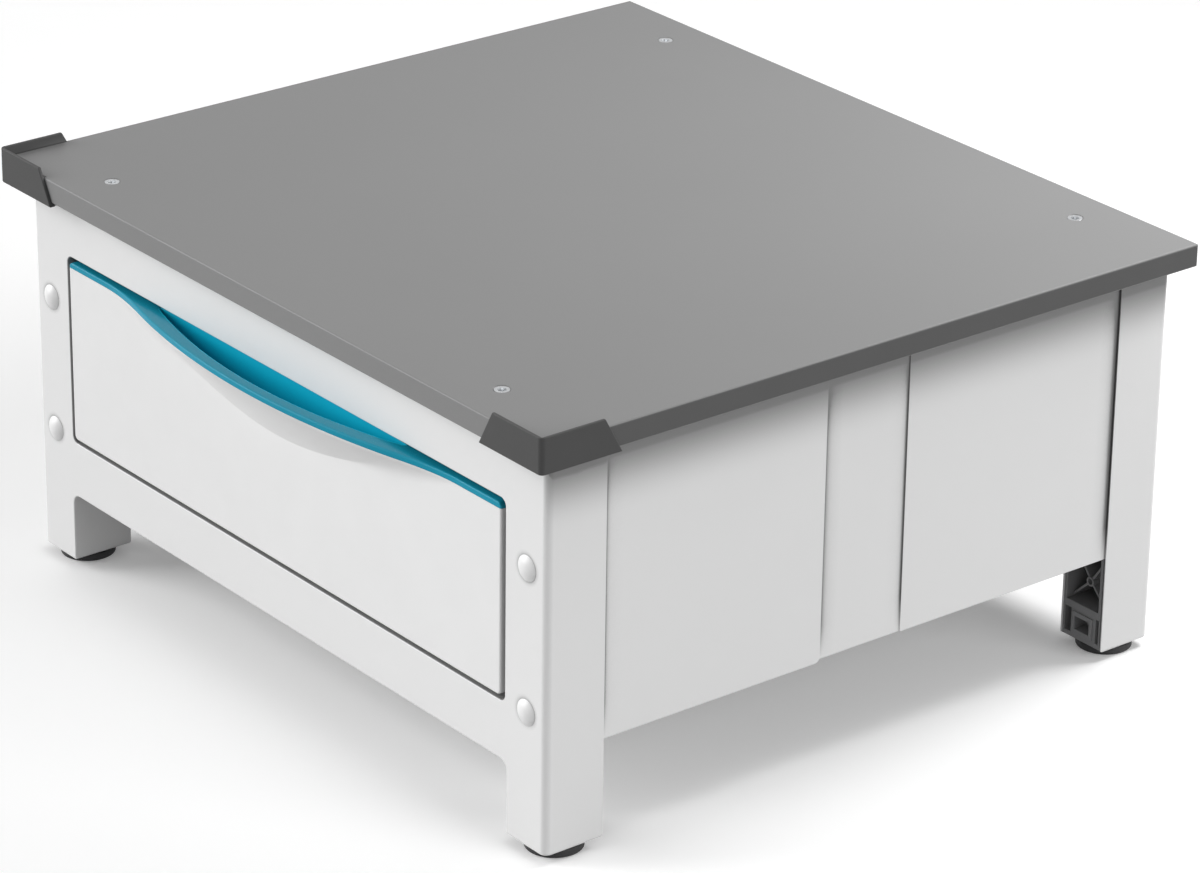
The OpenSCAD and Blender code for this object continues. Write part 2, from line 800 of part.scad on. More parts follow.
module carrier_rail() {
  z0 = slide_z - carrier_h / 2;
  z1 = slide_z + carrier_h / 2;
  color(steel) difference() {
    union() {
      box([carrier_x, carrier_y0, z0], [leg_in, carrier_y1, z1]);
      box([carrier_x - carrier_flange, carrier_y0, z0], [leg_in, carrier_y1, z0 + slide_sheet]);
      box([carrier_x - carrier_flange, carrier_y0, z1 - slide_sheet], [leg_in, carrier_y1, z1]);
    }
    for (y = [carrier_screw_front_y, carrier_screw_rear_y], z = carrier_screw_z)
      rod_x([carrier_x - past, y, z], slide_sheet + 2 * past, m4_hole_r);
    for (y = slide_rivet_y) rod_x([carrier_x - past, y, slide_z], slide_sheet + 2 * past, m4_hole_r);
  }
}

module carrier_rail_left() { on_side(-1) carrier_rail(); }
module carrier_rail_right() { on_side(1) carrier_rail(); }

module carrier_screws() {
  color(zinc) each_carrier_screw() {
    rod_x([carrier_x - head_h, 0, 0], head_h, rivet_head_r);
    rod_x([carrier_x - eps, 0, 0], carrier_screw_len, m4_r);
  }
}

// A C-shaped profile with round bends, drawn in u (towards the drawer) and v (up).
// The slot in its open side is at the high end of u.
module c_profile(u0, u1, height, slot) {
  difference() {
    round_rect(u0, -height / 2, u1, height / 2, bend_r);
    round_rect(u0 + slide_sheet, -height / 2 + slide_sheet, u1 - slide_sheet,
               height / 2 - slide_sheet, bend_r - slide_sheet);
    translate([u1 - slide_sheet - bend_r, -slot / 2]) square([slide_sheet + bend_r + past, slot]);
  }
}

// Extrudes a profile drawn in u and v along a slide.
module slide_length(y0, length) {
  translate([carrier_x, y0, slide_z]) mirror([1, 0, 0]) extrude_y(0, length) children();
}

module slide_outer() {
  color(steel) difference() {
    slide_length(slide_y0, slide_len) c_profile(0, outer_d, outer_h, middle_h + 2 * slot_gap);
    for (y = slide_rivet_y) rod_x([carrier_x - slide_sheet - past, y, slide_z], 2 * past, m4_hole_r);
  }
}

module slide_middle() {
  color(steel) slide_length(slide_y0, slide_len)
    c_profile(middle_u, middle_u + middle_d, middle_h, inner_h + 2 * slot_gap);
}

module slide_inner() {
  lip = 3.5;
  color(steel) difference() {
    slide_length(slide_y0, slide_len) translate([inner_u + slide_room, 0]) mirror([1, 0])
      c_profile(inner_u, slide_room, inner_h, inner_h - 2 * lip);
    for (y = slide_rivet_y) rod_x([drawer_x - past, y, slide_z], slide_sheet + 2 * past, m4_hole_r);
  }
}

// A cage strip with two rows of balls between two members.
module ball_cage(web_u, flange_v, ball_u) {
  strip = cage_web();
  y0 = slide_y0 + cage_start;
  pitch = cage_len / ball_count;
  flange_end = ball_u + ball_r + 0.2;
  color(zinc) difference() {
    slide_length(y0, cage_len) {
      translate([web_u, -flange_v - strip / 2]) square([strip, 2 * flange_v + strip]);
      for (v = [-flange_v, flange_v]) translate([web_u, v - strip / 2]) square([flange_end - web_u, strip]);
    }
    each_ball(y0, pitch, flange_v, ball_u) cylinder(h = 2 * strip, r = ball_r + 0.1, center = true);
  }
  color(steel) each_ball(y0, pitch, flange_v, ball_u) sphere(ball_r, $fn = 24);
}

module each_ball(y0, pitch, flange_v, ball_u) {
  for (k = [0:ball_count - 1], v = [-flange_v, flange_v])
    translate([carrier_x - ball_u, y0 + (k + 0.5) * pitch, slide_z + v]) children();
}

module cage_outer() {
  ball_cage(slide_sheet + slide_gap, middle_h / 2 + race / 2, slide_sheet + 4);
}

module cage_inner() {
  ball_cage(middle_u + slide_sheet + slide_gap, inner_h / 2 + race / 2, middle_u + slide_sheet + 3.2);
}

module slide_outer_left() { on_side(-1) slide_outer(); }
module slide_outer_right() { on_side(1) slide_outer(); }
module slide_middle_left() { on_side(-1) slide_middle(); }
module slide_middle_right() { on_side(1) slide_middle(); }
module slide_inner_left() { on_side(-1) slide_inner(); }
module slide_inner_right() { on_side(1) slide_inner(); }
module cage_outer_left() { on_side(-1) cage_outer(); }
module cage_outer_right() { on_side(1) cage_outer(); }
module cage_inner_left() { on_side(-1) cage_inner(); }
module cage_inner_right() { on_side(1) cage_inner(); }

module slide_rivets() {
  color(zinc) both_sides() for (y = slide_rivet_y) {
    rod_x([carrier_x - slide_sheet, y, slide_z], 2 * slide_sheet + eps, m4_r);
    rod_x([leg_in, y, slide_z], rivet_head_h, rivet_head_r);
  }
}

module drawer_slide_rivets() {
  color(zinc) both_sides() for (y = slide_rivet_y) {
    rod_x([drawer_x - box_sheet - eps, y, slide_z], box_sheet + slide_sheet, m4_r);
    rod_x([drawer_x - box_sheet - rivet_head_h, y, slide_z], rivet_head_h, rivet_head_r);
  }
}

// ---------------------------------------------------------------- drawer front

// The lip is a surface of revolution about an upright axis behind the drawer.
// Its section is drawn in p, the distance it stands out of the drawer front's face
// in the middle of the drawer, and z.
lip_bow_r = (lip_half ^ 2 + lip_reach ^ 2) / (2 * lip_reach);   // bow seen from above
sweep_r = 1.6 * lip_reach;                                      // hollow sweep under the lip
sweep_z0 = band_z - sweep_h;
sweep_c = [sweep_r * cos(sweep_start), sweep_z0 - sweep_r * sin(sweep_start)];
sweep_end_p = sweep_c[0] - sweep_r * cos(sweep_end);
nose_p = lip_reach - nose_r;
ramp = (nose_p + nose_r * cos(sweep_end) - sweep_end_p) / sin(sweep_end);
nose_z = sweep_c[1] + sweep_r * sin(sweep_end) + ramp * cos(sweep_end) + nose_r * sin(sweep_end);
lip_rear = pocket_back + pocket_wall + 3;   // how far its section reaches behind the face

function arc(c, r, from, to, steps) =
  [for (i = [0:steps]) let (a = from + (to - from) * i / steps) c + r * [cos(a), sin(a)]];

// Section under the lip, moved inwards by a wall: the sweep, the ramp and the nose.
function lip_section(wall, top) = concat(
  [[-lip_rear, top], [-lip_rear, sweep_z0]],
  arc(sweep_c, sweep_r + wall, 180 - sweep_start, 180 - sweep_end, 8),
  arc([nose_p, nose_z], nose_r - wall, -sweep_end, 0, 8),
  [[lip_reach - wall, top]]
);

// Turns a section about the bow's axis and keeps what lies before a plane behind the face.
module bow(half, behind, z0, z1) {
  turn = 60;
  intersection() {
    translate([0, face_y - lip_reach + lip_bow_r, 0]) rotate([0, 0, 270 - turn / 2])
      rotate_extrude(angle = turn, $fn = bow_fn)
        translate([lip_bow_r - lip_reach, 0]) children();
    box([-half, face_y - 2 * lip_reach, z0], [half, face_y + behind, z1]);
  }
}

// The whole slab of the drawer front, with its face edges and corners rounded.
module front_slab() {
  z1 = band_top;
  r = front_edge_r;
  intersection() {
    extrude_y(face_y - eps, front_t + eps)
      round_rect(-face_half, front_z0, face_half, z1, front_corner_r);
    extrude_x(-face_half, 2 * face_half)
      round_rect(face_y, front_z0, front_back_y + 2 * r, z1, r);
    translate([0, 0, front_z0]) linear_extrude(z1 - front_z0)
      round_rect(-face_half, face_y, face_half, front_back_y + 2 * r, r);
    box([-face_half, face_y, front_z0], [face_half, front_back_y, z1]);
  }
}

// Seen from above the pocket narrows to its two ends, where its rear wall runs towards the band.
pocket_half = lip_half - 9.5;
pocket_end = band_t - lip_reach + lip_bow_r - sqrt(lip_bow_r ^ 2 - pocket_half ^ 2) + 1;

// The space of the pocket below z1. Its walls are moved inwards from the lip by a front wall
// and outwards from the finger room by a rear wall.
module pocket_space(front, rear, z1) {
  z0 = band_top - pocket_depth - rear;
  half = pocket_half + rear;
  intersection() {
    bow(half, lip_rear - 2, z0, z1) polygon(lip_section(front, z1 + past));
    translate([0, face_y, z0]) linear_extrude(z1 - z0) polygon([
      [-half, -2 * lip_reach], [half, -2 * lip_reach],
      [half, pocket_end + rear], [pocket_half / 2, pocket_back + rear],
      [-pocket_half / 2, pocket_back + rear], [-half, pocket_end + rear]
    ]);
  }
}

module pocket_outside() { pocket_space(pocket_wall, pocket_wall, band_z + band_h / 2); }
module pocket_inside() { pocket_space(band_t, 0, band_top + past); }

module drawer_front() {
  inner_z0 = front_z0 + front_wall;
  inner_z1 = band_z - front_wall;
  inner_half = face_half - front_wall;
  boss_r = 5;
  rib_t = 2;
  rib_short = 3;
  rib_xs = [for (k = [-2:2]) k * inner_half / 3];
  color(white_plastic) difference() {
    union() {
      difference() {
        intersection() {
          front_slab();
          box([-face_half, face_y, front_z0], [face_half, front_back_y, band_z]);
        }
        extrude_y(face_y + front_wall, front_t) round_rect(-inner_half, inner_z0, inner_half, inner_z1, 2);
        bow(inner_half, front_wall + 1, sweep_z0 - past, inner_z1) polygon(lip_section(front_wall, band_z));
      }
      // the lip, with a wall of the same thickness all the way
      difference() {
        bow(face_half, front_wall, sweep_z0, band_z) polygon(lip_section(0, band_z));
        bow(inner_half, front_wall + 1, sweep_z0 - past, inner_z1) polygon(lip_section(front_wall, band_z));
      }
      // ribs and screw bosses behind the face
      for (x = rib_xs) box([x - rib_t / 2, face_y + front_wall / 2, inner_z0 - 1],
                           [x + rib_t / 2, front_back_y - rib_short, inner_z1 + 1]);
      both_sides() for (z = front_screw_z)
        rod_y([front_screw_x, face_y + front_wall / 2, z], front_t - front_wall / 2, boss_r);
    }
    pocket_outside();
    both_sides() for (z = front_screw_z)
      rod_y([front_screw_x, face_y + front_wall + 1, z], front_t, m4_hole_r);
  }
}

module handle_insert() {
  r = 1.2;
  color(teal) difference() {
    union() {
      intersection() {
        front_slab();
        box([-face_half, face_y, band_z], [face_half, front_back_y, band_top]);
      }
      // the band follows the lip's bow, with a round upper edge
      bow(face_half, pocket_back, band_z, band_top) polygon(concat(
        [[-lip_rear, band_top], [-lip_rear, band_z], [lip_reach, band_z]],
        arc([lip_reach - r, band_top - r], r, 0, 90, 4)
      ));
      pocket_outside();
    }
    pocket_inside();
  }
}

// ---------------------------------------------------------------- drawer box

module drawer_front_plate() {
  color(white_paint) difference() {
    box([-drawer_x, front_back_y, box_z0], [drawer_x, box_y0, box_z1]);
    both_sides() for (z = front_screw_z)
      rod_y([front_screw_x, front_back_y - past, z], box_sheet + 2 * past, m4_hole_r);
  }
}

module drawer_side() {
  x1 = drawer_x;
  x0 = drawer_x - box_sheet;
  roll = 6;
  color(white_paint) difference() {
    union() {
      box([x0, box_y0, box_z0], [x1, box_y1, box_z1]);
      // rolled upper edge
      box([x0 - roll, box_y0, box_z1 - box_sheet], [x1, box_y1, box_z1]);
      box([x0 - roll, box_y0, box_z1 - roll], [x0 - roll + box_sheet, box_y1, box_z1]);
      // flange under the drawer's bottom
      box([x1 - box_flange, box_y0, box_z0], [x1, box_y1, box_z0 + box_sheet]);
      // flange behind the drawer front
      box([x1 - box_flange, box_y0, box_z0 + 8], [x1, box_y0 + box_sheet, box_z1 - roll - 3]);
    }
    for (z = front_screw_z) rod_y([front_screw_x, box_y0 - past, z], 2 * past + box_sheet, m4_hole_r);
    for (y = slide_rivet_y) rod_x([x0 - past, y, slide_z], 2 * past + box_sheet, m4_hole_r);
    for (z = box_rivet_z) rod_x([x0 - past, box_rivet_y, z], 2 * past + box_sheet, m4_hole_r);
  }
}

module drawer_side_left() { on_side(-1) drawer_side(); }
module drawer_side_right() { on_side(1) drawer_side(); }

module drawer_back() {
  x = drawer_x - box_sheet;
  z0 = box_z0 + 2 * box_sheet;
  z1 = box_z0 + back_h;
  color(white_paint) difference() {
    union() {
      box([-x, box_y1 - box_sheet, z0], [x, box_y1, z1]);
      box([-x + 7, box_y1 - 7, z1 - box_sheet], [x - 7, box_y1, z1]);
      both_sides() box([x - box_sheet, box_y1 - box_flange, z0], [x, box_y1, z1]);
    }
    both_sides() for (z = box_rivet_z)
      rod_x([x - box_sheet - past, box_rivet_y, z], 2 * past + box_sheet, m4_hole_r);
  }
}

module drawer_bottom() {
  x = drawer_x - box_sheet;
  z0 = box_z0 + box_sheet;
  bead_w = 16;
  bead_count = 5;
  bead_front = 30;
  bead_rear = 45;
  bead_gap = 2 * x / bead_count;
  color(white_paint) {
    box([-x, box_y0, z0], [x, box_y1, z0 + box_sheet]);
    // pressed beads that stiffen the sheet
    translate([0, 0, z0 + box_sheet / 2]) linear_extrude(box_sheet * 1.5)
      for (k = [0:bead_count - 1]) {
        bead_x = -x + (k + 0.5) * bead_gap;
        round_rect(bead_x - bead_w / 2, box_y0 + bead_front, bead_x + bead_w / 2, box_y1 - bead_rear,
                   bead_w / 2 - eps);
      }
  }
}

module drawer_front_screws() {
  screw_tip = 3;   // room before a screw's end
  color(zinc) both_sides() for (z = front_screw_z) {
    rod_y([front_screw_x, box_y0 + box_sheet, z], head_h, rivet_head_r);
    rod_y([front_screw_x, face_y + front_wall + screw_tip, z],
          front_t - front_wall - screw_tip + 2 * box_sheet + eps, m4_r);
  }
}

module drawer_back_rivets() {
  x = drawer_x - 2 * box_sheet;
  color(zinc) both_sides() for (z = box_rivet_z) {
    rod_x([x - eps, box_rivet_y, z], 2 * box_sheet + 2 * eps, m4_r);
    rod_x([x - rivet_head_h, box_rivet_y, z], rivet_head_h, rivet_head_r);
    rod_x([drawer_x, box_rivet_y, z], rivet_head_h, rivet_head_r);
  }
}

// ---------------------------------------------------------------- assembly

top_board();
corner_guard_left();
corner_guard_right();
guard_screws();
board_screws();
board_nuts();
front_frame();
rear_frame();
side_sheet_front_left();
side_sheet_front_right();
side_sheet_rear_left();
side_sheet_rear_right();
leg_core_front_left();
leg_core_front_right();
leg_core_rear_left();
leg_core_rear_right();
frame_screws_front();
frame_screws_rear();
screw_caps();
foot_inserts();
carrier_rail_left();
carrier_rail_right();
carrier_screws();
slide_outer_left();
slide_outer_right();
slide_rivets();
slide_middle_left();
slide_middle_right();
cage_outer_left();
cage_outer_right();
cage_inner_left();
cage_inner_right();
slide_inner_left();
slide_inner_right();
drawer_slide_rivets();
drawer_front();
handle_insert();
drawer_front_plate();
drawer_side_left();
drawer_side_right();
drawer_back();
drawer_bottom();
drawer_front_screws();
drawer_back_rivets();
foot_pad_front_left();
foot_pad_front_right();
foot_pad_rear_left();
foot_pad_rear_right();
foot_stud_front_left();
foot_stud_front_right();
foot_stud_rear_left();
foot_stud_rear_right();
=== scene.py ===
"""Washer pedestal drawer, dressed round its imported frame.

Lengths are in millimetres in the sizes and in metres in Blender. x runs to the right, y to the
back and z up, as in the frame. Each sub-assembly is a class that holds its sizes, builds its
meshes and gives them their finish.
"""

import json
import logging
import math
from dataclasses import dataclass, field
from enum import Enum
from typing import Callable, Iterable, Sequence

import bmesh
import bpy
from mathutils import Matrix, Vector

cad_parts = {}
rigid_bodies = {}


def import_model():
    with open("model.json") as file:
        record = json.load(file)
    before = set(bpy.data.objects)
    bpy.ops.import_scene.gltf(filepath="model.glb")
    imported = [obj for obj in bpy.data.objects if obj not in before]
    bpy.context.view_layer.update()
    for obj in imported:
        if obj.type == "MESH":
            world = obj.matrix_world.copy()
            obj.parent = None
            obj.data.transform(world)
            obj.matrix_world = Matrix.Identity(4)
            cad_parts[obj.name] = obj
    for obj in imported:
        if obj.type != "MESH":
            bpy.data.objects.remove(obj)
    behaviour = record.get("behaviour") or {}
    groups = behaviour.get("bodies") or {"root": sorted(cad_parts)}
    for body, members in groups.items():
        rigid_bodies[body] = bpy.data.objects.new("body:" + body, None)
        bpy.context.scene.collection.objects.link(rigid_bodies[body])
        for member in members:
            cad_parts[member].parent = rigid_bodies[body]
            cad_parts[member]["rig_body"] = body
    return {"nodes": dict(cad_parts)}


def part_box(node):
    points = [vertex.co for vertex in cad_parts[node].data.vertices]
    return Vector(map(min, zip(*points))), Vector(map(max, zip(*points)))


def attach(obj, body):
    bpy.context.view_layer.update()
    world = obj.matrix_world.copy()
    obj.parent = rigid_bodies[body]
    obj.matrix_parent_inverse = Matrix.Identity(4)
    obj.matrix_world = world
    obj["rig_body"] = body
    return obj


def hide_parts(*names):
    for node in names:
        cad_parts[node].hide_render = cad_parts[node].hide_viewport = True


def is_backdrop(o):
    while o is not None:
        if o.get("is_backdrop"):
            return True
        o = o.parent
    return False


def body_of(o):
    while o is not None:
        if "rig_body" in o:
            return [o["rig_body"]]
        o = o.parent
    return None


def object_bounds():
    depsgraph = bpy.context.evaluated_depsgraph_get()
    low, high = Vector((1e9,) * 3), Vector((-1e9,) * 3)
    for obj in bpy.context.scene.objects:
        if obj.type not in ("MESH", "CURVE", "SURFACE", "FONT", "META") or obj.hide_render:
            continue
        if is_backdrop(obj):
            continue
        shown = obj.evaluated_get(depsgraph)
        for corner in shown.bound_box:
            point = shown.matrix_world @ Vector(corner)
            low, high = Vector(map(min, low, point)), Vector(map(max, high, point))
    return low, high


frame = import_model()
cad_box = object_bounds()

log = logging.getLogger("pedestal")

MM = 0.001
WHITE = (1.0, 1.0, 1.0, 1.0)

Point = tuple[float, float, float]
Flat = tuple[float, float]
Piece = bpy.types.Object
Node = bpy.types.Node
Socket = bpy.types.NodeSocket
Vert = bmesh.types.BMVert


# ---------- finishes


class Slot(Enum):
    """The record's material slots, and two finishes that share another's slot, one of them the pocket's
    lighter teal, which is painted light.
    """

    BOARD = "board"
    DARK_EDGE = "board_edge"
    GUARD = "guard"
    WHITE_PAINT = "white_paint"
    WHITE_PLASTIC = "white_plastic"
    TEAL = "teal_plastic"
    # painted light: a lighter copy of the teal that stands in for light in the pocket's shade
    POCKET_LIT_TEAL = "pocket_plastic"
    CORE = "core_plastic"
    SLIDE_STEEL = "slide_steel"
    ZINC = "fastener_zinc"
    RUBBER = "rubber"

    @property
    def row(self) -> str:
        """The record's name of the slot; the dark edge strips and the pocket's painted-light teal share
        another's.
        """
        return {Slot.DARK_EDGE: Slot.BOARD, Slot.POCKET_LIT_TEAL: Slot.TEAL}.get(self, self).value


class Tree:
    """A node tree, emptied and then filled by name."""

    def __init__(self, owner: bpy.types.Material | bpy.types.World) -> None:
        """Empties the owner's tree."""
        owner.use_nodes = True
        self.tree = owner.node_tree
        self.tree.nodes.clear()

    def add(self, kind: str, *inputs: object, **settings: object) -> Node:
        """Adds a node.

        Args:
            kind: the node's type name, without its prefix.
            inputs: values or links of its first inputs.
            settings: properties of the node, or values and links of its named inputs.

        Returns:
            The new node.
        """
        node = self.tree.nodes.new("ShaderNode" + kind)
        for key, value in settings.items():
            if hasattr(node, key):
                setattr(node, key, value)
            else:
                self.feed(node, key.replace("_", " "), value)
        for index, value in enumerate(inputs):
            self.feed(node, index, value)
        return node

    def feed(self, node: Node, socket: str | int, value: object) -> None:
        """Links or sets one input.

        Args:
            node: the node.
            socket: the input's name or number.
            value: an output to link, or a plain value.
        """
        if isinstance(value, Socket):
            self.tree.links.new(value, node.inputs[socket])
        else:
            node.inputs[socket].default_value = value

    def math(self, operation: str, one: object, two: object = 0.0) -> Socket:
        """The result of a sum on two outputs or numbers."""
        return self.add("Math", one, two, operation=operation).outputs[0]


class Graph(Tree):
    """A material's tree with a principled shader and object coordinates in metres."""

    COLOUR_INPUTS = (6, 7)
    COLOUR_OUTPUT = 2

    def __init__(self, name: str) -> None:
        """Starts the material."""
        self.material = bpy.data.materials.new(name)
        super().__init__(self.material)
        self.shader = self.add("BsdfPrincipled")
        self.add("OutputMaterial", self.shader.outputs[0])
        self.place = self.add("TexCoord").outputs["Object"]

    def set(self, **sockets: object) -> None:
        """Sets or links the shader's inputs, with _ for a space in their names."""
        for key, value in sockets.items():
            self.feed(self.shader, key.replace("_", " "), value)

    def noise(
        self, scale: float, detail: float = 2.0, rough: float = 0.5, at: Socket | None = None,
    ) -> Socket:
        """A noise value.

        Args:
            scale: cells in a metre.
            detail: octaves.
            rough: weight of the finer octaves.
            at: coordinates, or None for the object's own.

        Returns:
            The noise value's output.
        """
        place = self.place if at is None else at
        return self.add("TexNoise", Vector=place, Scale=scale, Detail=detail, Roughness=rough).outputs[0]

    def span(
        self, value: Socket, low: float, high: float, source: Flat = (0.3, 0.7), curve: str = "LINEAR",
    ) -> Socket:
        """Maps a value to low..high.

        Args:
            value: the value to map.
            low: result at the source's start.
            high: result at the source's end.
            source: values between which it maps; noise mostly lies between the usual ones.
            curve: way between the two results.

        Returns:
            The mapped value's output.
        """
        return self.add("MapRange", value, *source, low, high, interpolation_type=curve).outputs[0]

    def shades(self, value: Socket, dark: Point, light: Point) -> Socket:
        """A colour between two linear colours.

        Args:
            value: 0 for the dark colour, 1 for the light one.
            dark: the dark colour.
            light: the light colour.

        Returns:
            The colour's output.
        """
        node = self.add("Mix", value, data_type="RGBA")
        for index, colour in zip(self.COLOUR_INPUTS, (dark, light)):
            self.feed(node, index, (*colour, 1.0))
        return node.outputs[self.COLOUR_OUTPUT]

    def bump(self, *layers: tuple[Socket, float]) -> None:
        """Adds relief to the shader.

        Args:
            layers: pairs of a height and its depth in millimetres.
        """
        below: dict[str, Socket] = {}
        for height, depth in layers:
            node = self.add("Bump", Strength=1.0, Distance=depth * MM, Height=height, **below)
            below = {"Normal": node.outputs[0]}
        self.set(**below)


def linear(*screen: float) -> Point:
    """The linear colour of red, green and blue screen values of 0 to 255."""
    shares = [value / 255 for value in screen]
    return tuple(share / 12.92 if share <= 0.04045 else ((share + 0.055) / 1.055) ** 2.4 for share in shares)


def grey(level: float) -> Point:
    """The linear colour of a screen grey."""
    return linear(level, level, level)


@dataclass(frozen=True)
class Finish:
    """What every finish has: its slot and its linear colour."""

    slot: Slot
    colour: Point

    def material(self) -> bpy.types.Material:
        """Makes the finish's material, named for its slot."""
        graph = Graph(self.slot.value)
        self.dress(graph)
        return graph.material

    def dress(self, graph: Graph) -> None:
        """Fills the material's graph."""
        raise NotImplementedError

    def tint(self, graph: Graph, value: Socket, dark: float, light: float) -> None:
        """Gives the shader its colour, made darker or lighter by a value.

        Args:
            graph: the material's graph.
            value: 0 for the dark share, 1 for the light one.
            dark: factor on the colour at 0.
            light: factor on the colour at 1.
        """
        low, high = (tuple(min(1.0, channel * factor) for channel in self.colour) for factor in (dark, light))
        graph.set(Base_Color=graph.shades(value, low, high))

    def mottle(self, graph: Graph, scale: float, spread: float) -> None:
        """Gives the shader its colour with slight cloudiness.

        Args:
            graph: the material's graph.
            scale: cells in a metre.
            spread: how far the colour strays, as a share.
        """
        self.tint(graph, graph.span(graph.noise(scale, 3.0), 0.0, 1.0), 1 - spread, 1 + spread)


@dataclass(frozen=True)
class PowderCoat(Finish):
    """Baked powder coat on sheet steel, with a faint orange peel.

    Its colour carries painted shade: ambient occlusion darkens it right beside steps, within the first
    reach on front faces and the second on side faces, and a painted shadow darkens side faces under
    the board's overhang. The legs' lower ends stay clear, so the floor doesn't darken them. Heights
    and reaches are in metres, a relief is its cells in a metre and its depth in millimetres.
    """

    gloss: Flat = (0.33, 0.41)
    gloss_scale: float = 60.0
    clouds: Flat = (0.992, 1.008)
    cloud_scale: float = 9.0
    darkest: float = 0.75
    gain: float = 8.0
    rays: int = 32
    reach: Flat = (0.004, 0.014)
    above: Flat = (0.075, 0.1)
    overhang: Flat = (0.222, 0.275)
    overhang_fall: float = 1.5
    peel: Flat = (420.0, 0.012)
    dust: Flat = (2600.0, 0.004)

    def depth(self, graph: Graph) -> Socket:
        """Painted shade beside steps and under edges: a factor on the colour, from 1 in the open towards 0.

        Args:
            graph: the material's graph.

        Returns:
            The value's output.
        """
        facing = graph.add("SeparateXYZ", graph.add("NewGeometry").outputs["Normal"])
        side = graph.math("ABSOLUTE", facing.outputs[0])
        height = graph.add("SeparateXYZ", graph.place).outputs[2]
        short, far = self.reach
        distance = graph.math("ADD", short, graph.math("MULTIPLY", side, far - short))
        # painted shade: ambient occlusion turned into darkening of the coat's colour
        free = graph.add("AmbientOcclusion", samples=self.rays, Distance=distance).outputs["AO"]
        occlusion_shade = graph.math("MULTIPLY", graph.math("SUBTRACT", 1.0, free), self.gain)
        occlusion_shade = graph.math("MINIMUM", occlusion_shade, 1.0)
        occlusion_shade = graph.math("MULTIPLY", occlusion_shade, graph.span(height, 0.0, 1.0, self.above))
        # painted shadow of the board's overhang on side faces, growing towards the board
        under = graph.span(height, 0.0, 1.0, self.overhang, "SMOOTHSTEP")
        under = graph.math("MULTIPLY", graph.math("POWER", under, self.overhang_fall), side)
        both = graph.math("MINIMUM", graph.math("ADD", occlusion_shade, under), 1.0)
        return graph.math("SUBTRACT", 1.0, graph.math("MULTIPLY", both, self.darkest))

    def dress(self, graph: Graph) -> None:
        """Fills the material's graph."""
        cloud = graph.span(graph.noise(self.cloud_scale, 3.0), *self.clouds)
        # the coat's colour times the painted shade from depth()
        self.tint(graph, graph.math("MULTIPLY", cloud, self.depth(graph)), 0.0, 1.0)
        gloss = graph.span(graph.noise(self.gloss_scale, 3.0), *self.gloss)
        graph.set(Roughness=gloss, IOR=1.48)
        (peel, peel_depth), (dust, dust_depth) = self.peel, self.dust
        graph.bump((graph.noise(peel), peel_depth), (graph.noise(dust, 1.0), dust_depth))


@dataclass(frozen=True)
class MouldedPlastic(Finish):
    """Injection moulded plastic with a fine spark-eroded grain and slow flow waves."""

    rough: float = 0.42
    grain: float = 1500.0
    depth: float = 0.012
    spread: float = 0.01
    shine: float = 0.4
    clouds: float = 30.0
    flow: Flat = (14.0, 0.02)

    def dress(self, graph: Graph) -> None:
        """Fills the material's graph."""
        self.mottle(graph, self.clouds, self.spread)
        grain = graph.noise(self.grain, 2.0, 0.6)
        rough = graph.span(grain, self.rough - 0.05, self.rough + 0.06)
        graph.set(Roughness=rough, IOR=1.47, Specular_IOR_Level=self.shine)
        scale, deep = self.flow
        graph.bump((graph.noise(scale), deep), (grain, self.depth))


@dataclass(frozen=True)
class Laminate(Finish):
    """Hard matt facing of the board, with a fine pearl grain.

    Clouds are their cells in a metre and how far they stray, a relief is its cells in a metre and
    its depth in millimetres.
    """

    clouds: Flat = (6.0, 0.15)
    pearl: Flat = (1900.0, 0.006)
    grain: Flat = (700.0, 0.008)
    spread: float = 0.045
    rough: Flat = (0.44, 0.54)

    def dress(self, graph: Graph) -> None:
        """Fills the material's graph."""
        (clouds, stray), (pearl, pearl_depth), (grain, grain_depth) = self.clouds, self.pearl, self.grain
        speck = graph.noise(pearl, 2.0, 0.7)
        cloud = graph.span(graph.noise(clouds, 3.0), -stray, stray)
        shade = graph.math("ADD", cloud, graph.span(speck, 0.1, 0.9))
        self.tint(graph, shade, 1 - self.spread, 1 + self.spread)
        graph.set(Roughness=graph.span(speck, *self.rough), IOR=1.45)
        graph.bump((graph.noise(grain), grain_depth), (speck, pearl_depth))


@dataclass(frozen=True)
class PlatedSteel(Finish):
    """Zinc on steel, drawn or rolled along y."""

    rough: float = 0.34
    drawn: Point = (900.0, 14.0, 900.0)
    line_depth: float = 0.006
    flowers: float = 160.0
    flower_shades: Flat = (0.9, 1.08)

    def dress(self, graph: Graph) -> None:
        """Fills the material's graph."""
        along = graph.add("Mapping", Vector=graph.place, Scale=self.drawn).outputs[0]
        lines = graph.noise(1.0, 3.0, 0.65, at=along)
        flowers = graph.add("TexVoronoi", Vector=graph.place, Scale=self.flowers).outputs["Distance"]
        self.tint(graph, graph.span(flowers, 0.0, 1.0, (0.0, 0.9)), *self.flower_shades)
        graph.set(Metallic=1.0, Roughness=graph.span(lines, self.rough - 0.07, self.rough + 0.1))
        graph.bump((lines, self.line_depth))


@dataclass(frozen=True)
class Rubber(Finish):
    """Black moulded rubber, dull and slightly pitted."""

    rough: Flat = (0.6, 0.78)
    clouds: Flat = (120.0, 0.12)
    pits: Flat = (1100.0, 0.03)

    def dress(self, graph: Graph) -> None:
        """Fills the material's graph."""
        self.mottle(graph, *self.clouds)
        scale, deep = self.pits
        pits = graph.noise(scale, 3.0, 0.6)
        graph.set(Roughness=graph.span(pits, *self.rough), IOR=1.5)
        graph.bump((pits, deep))


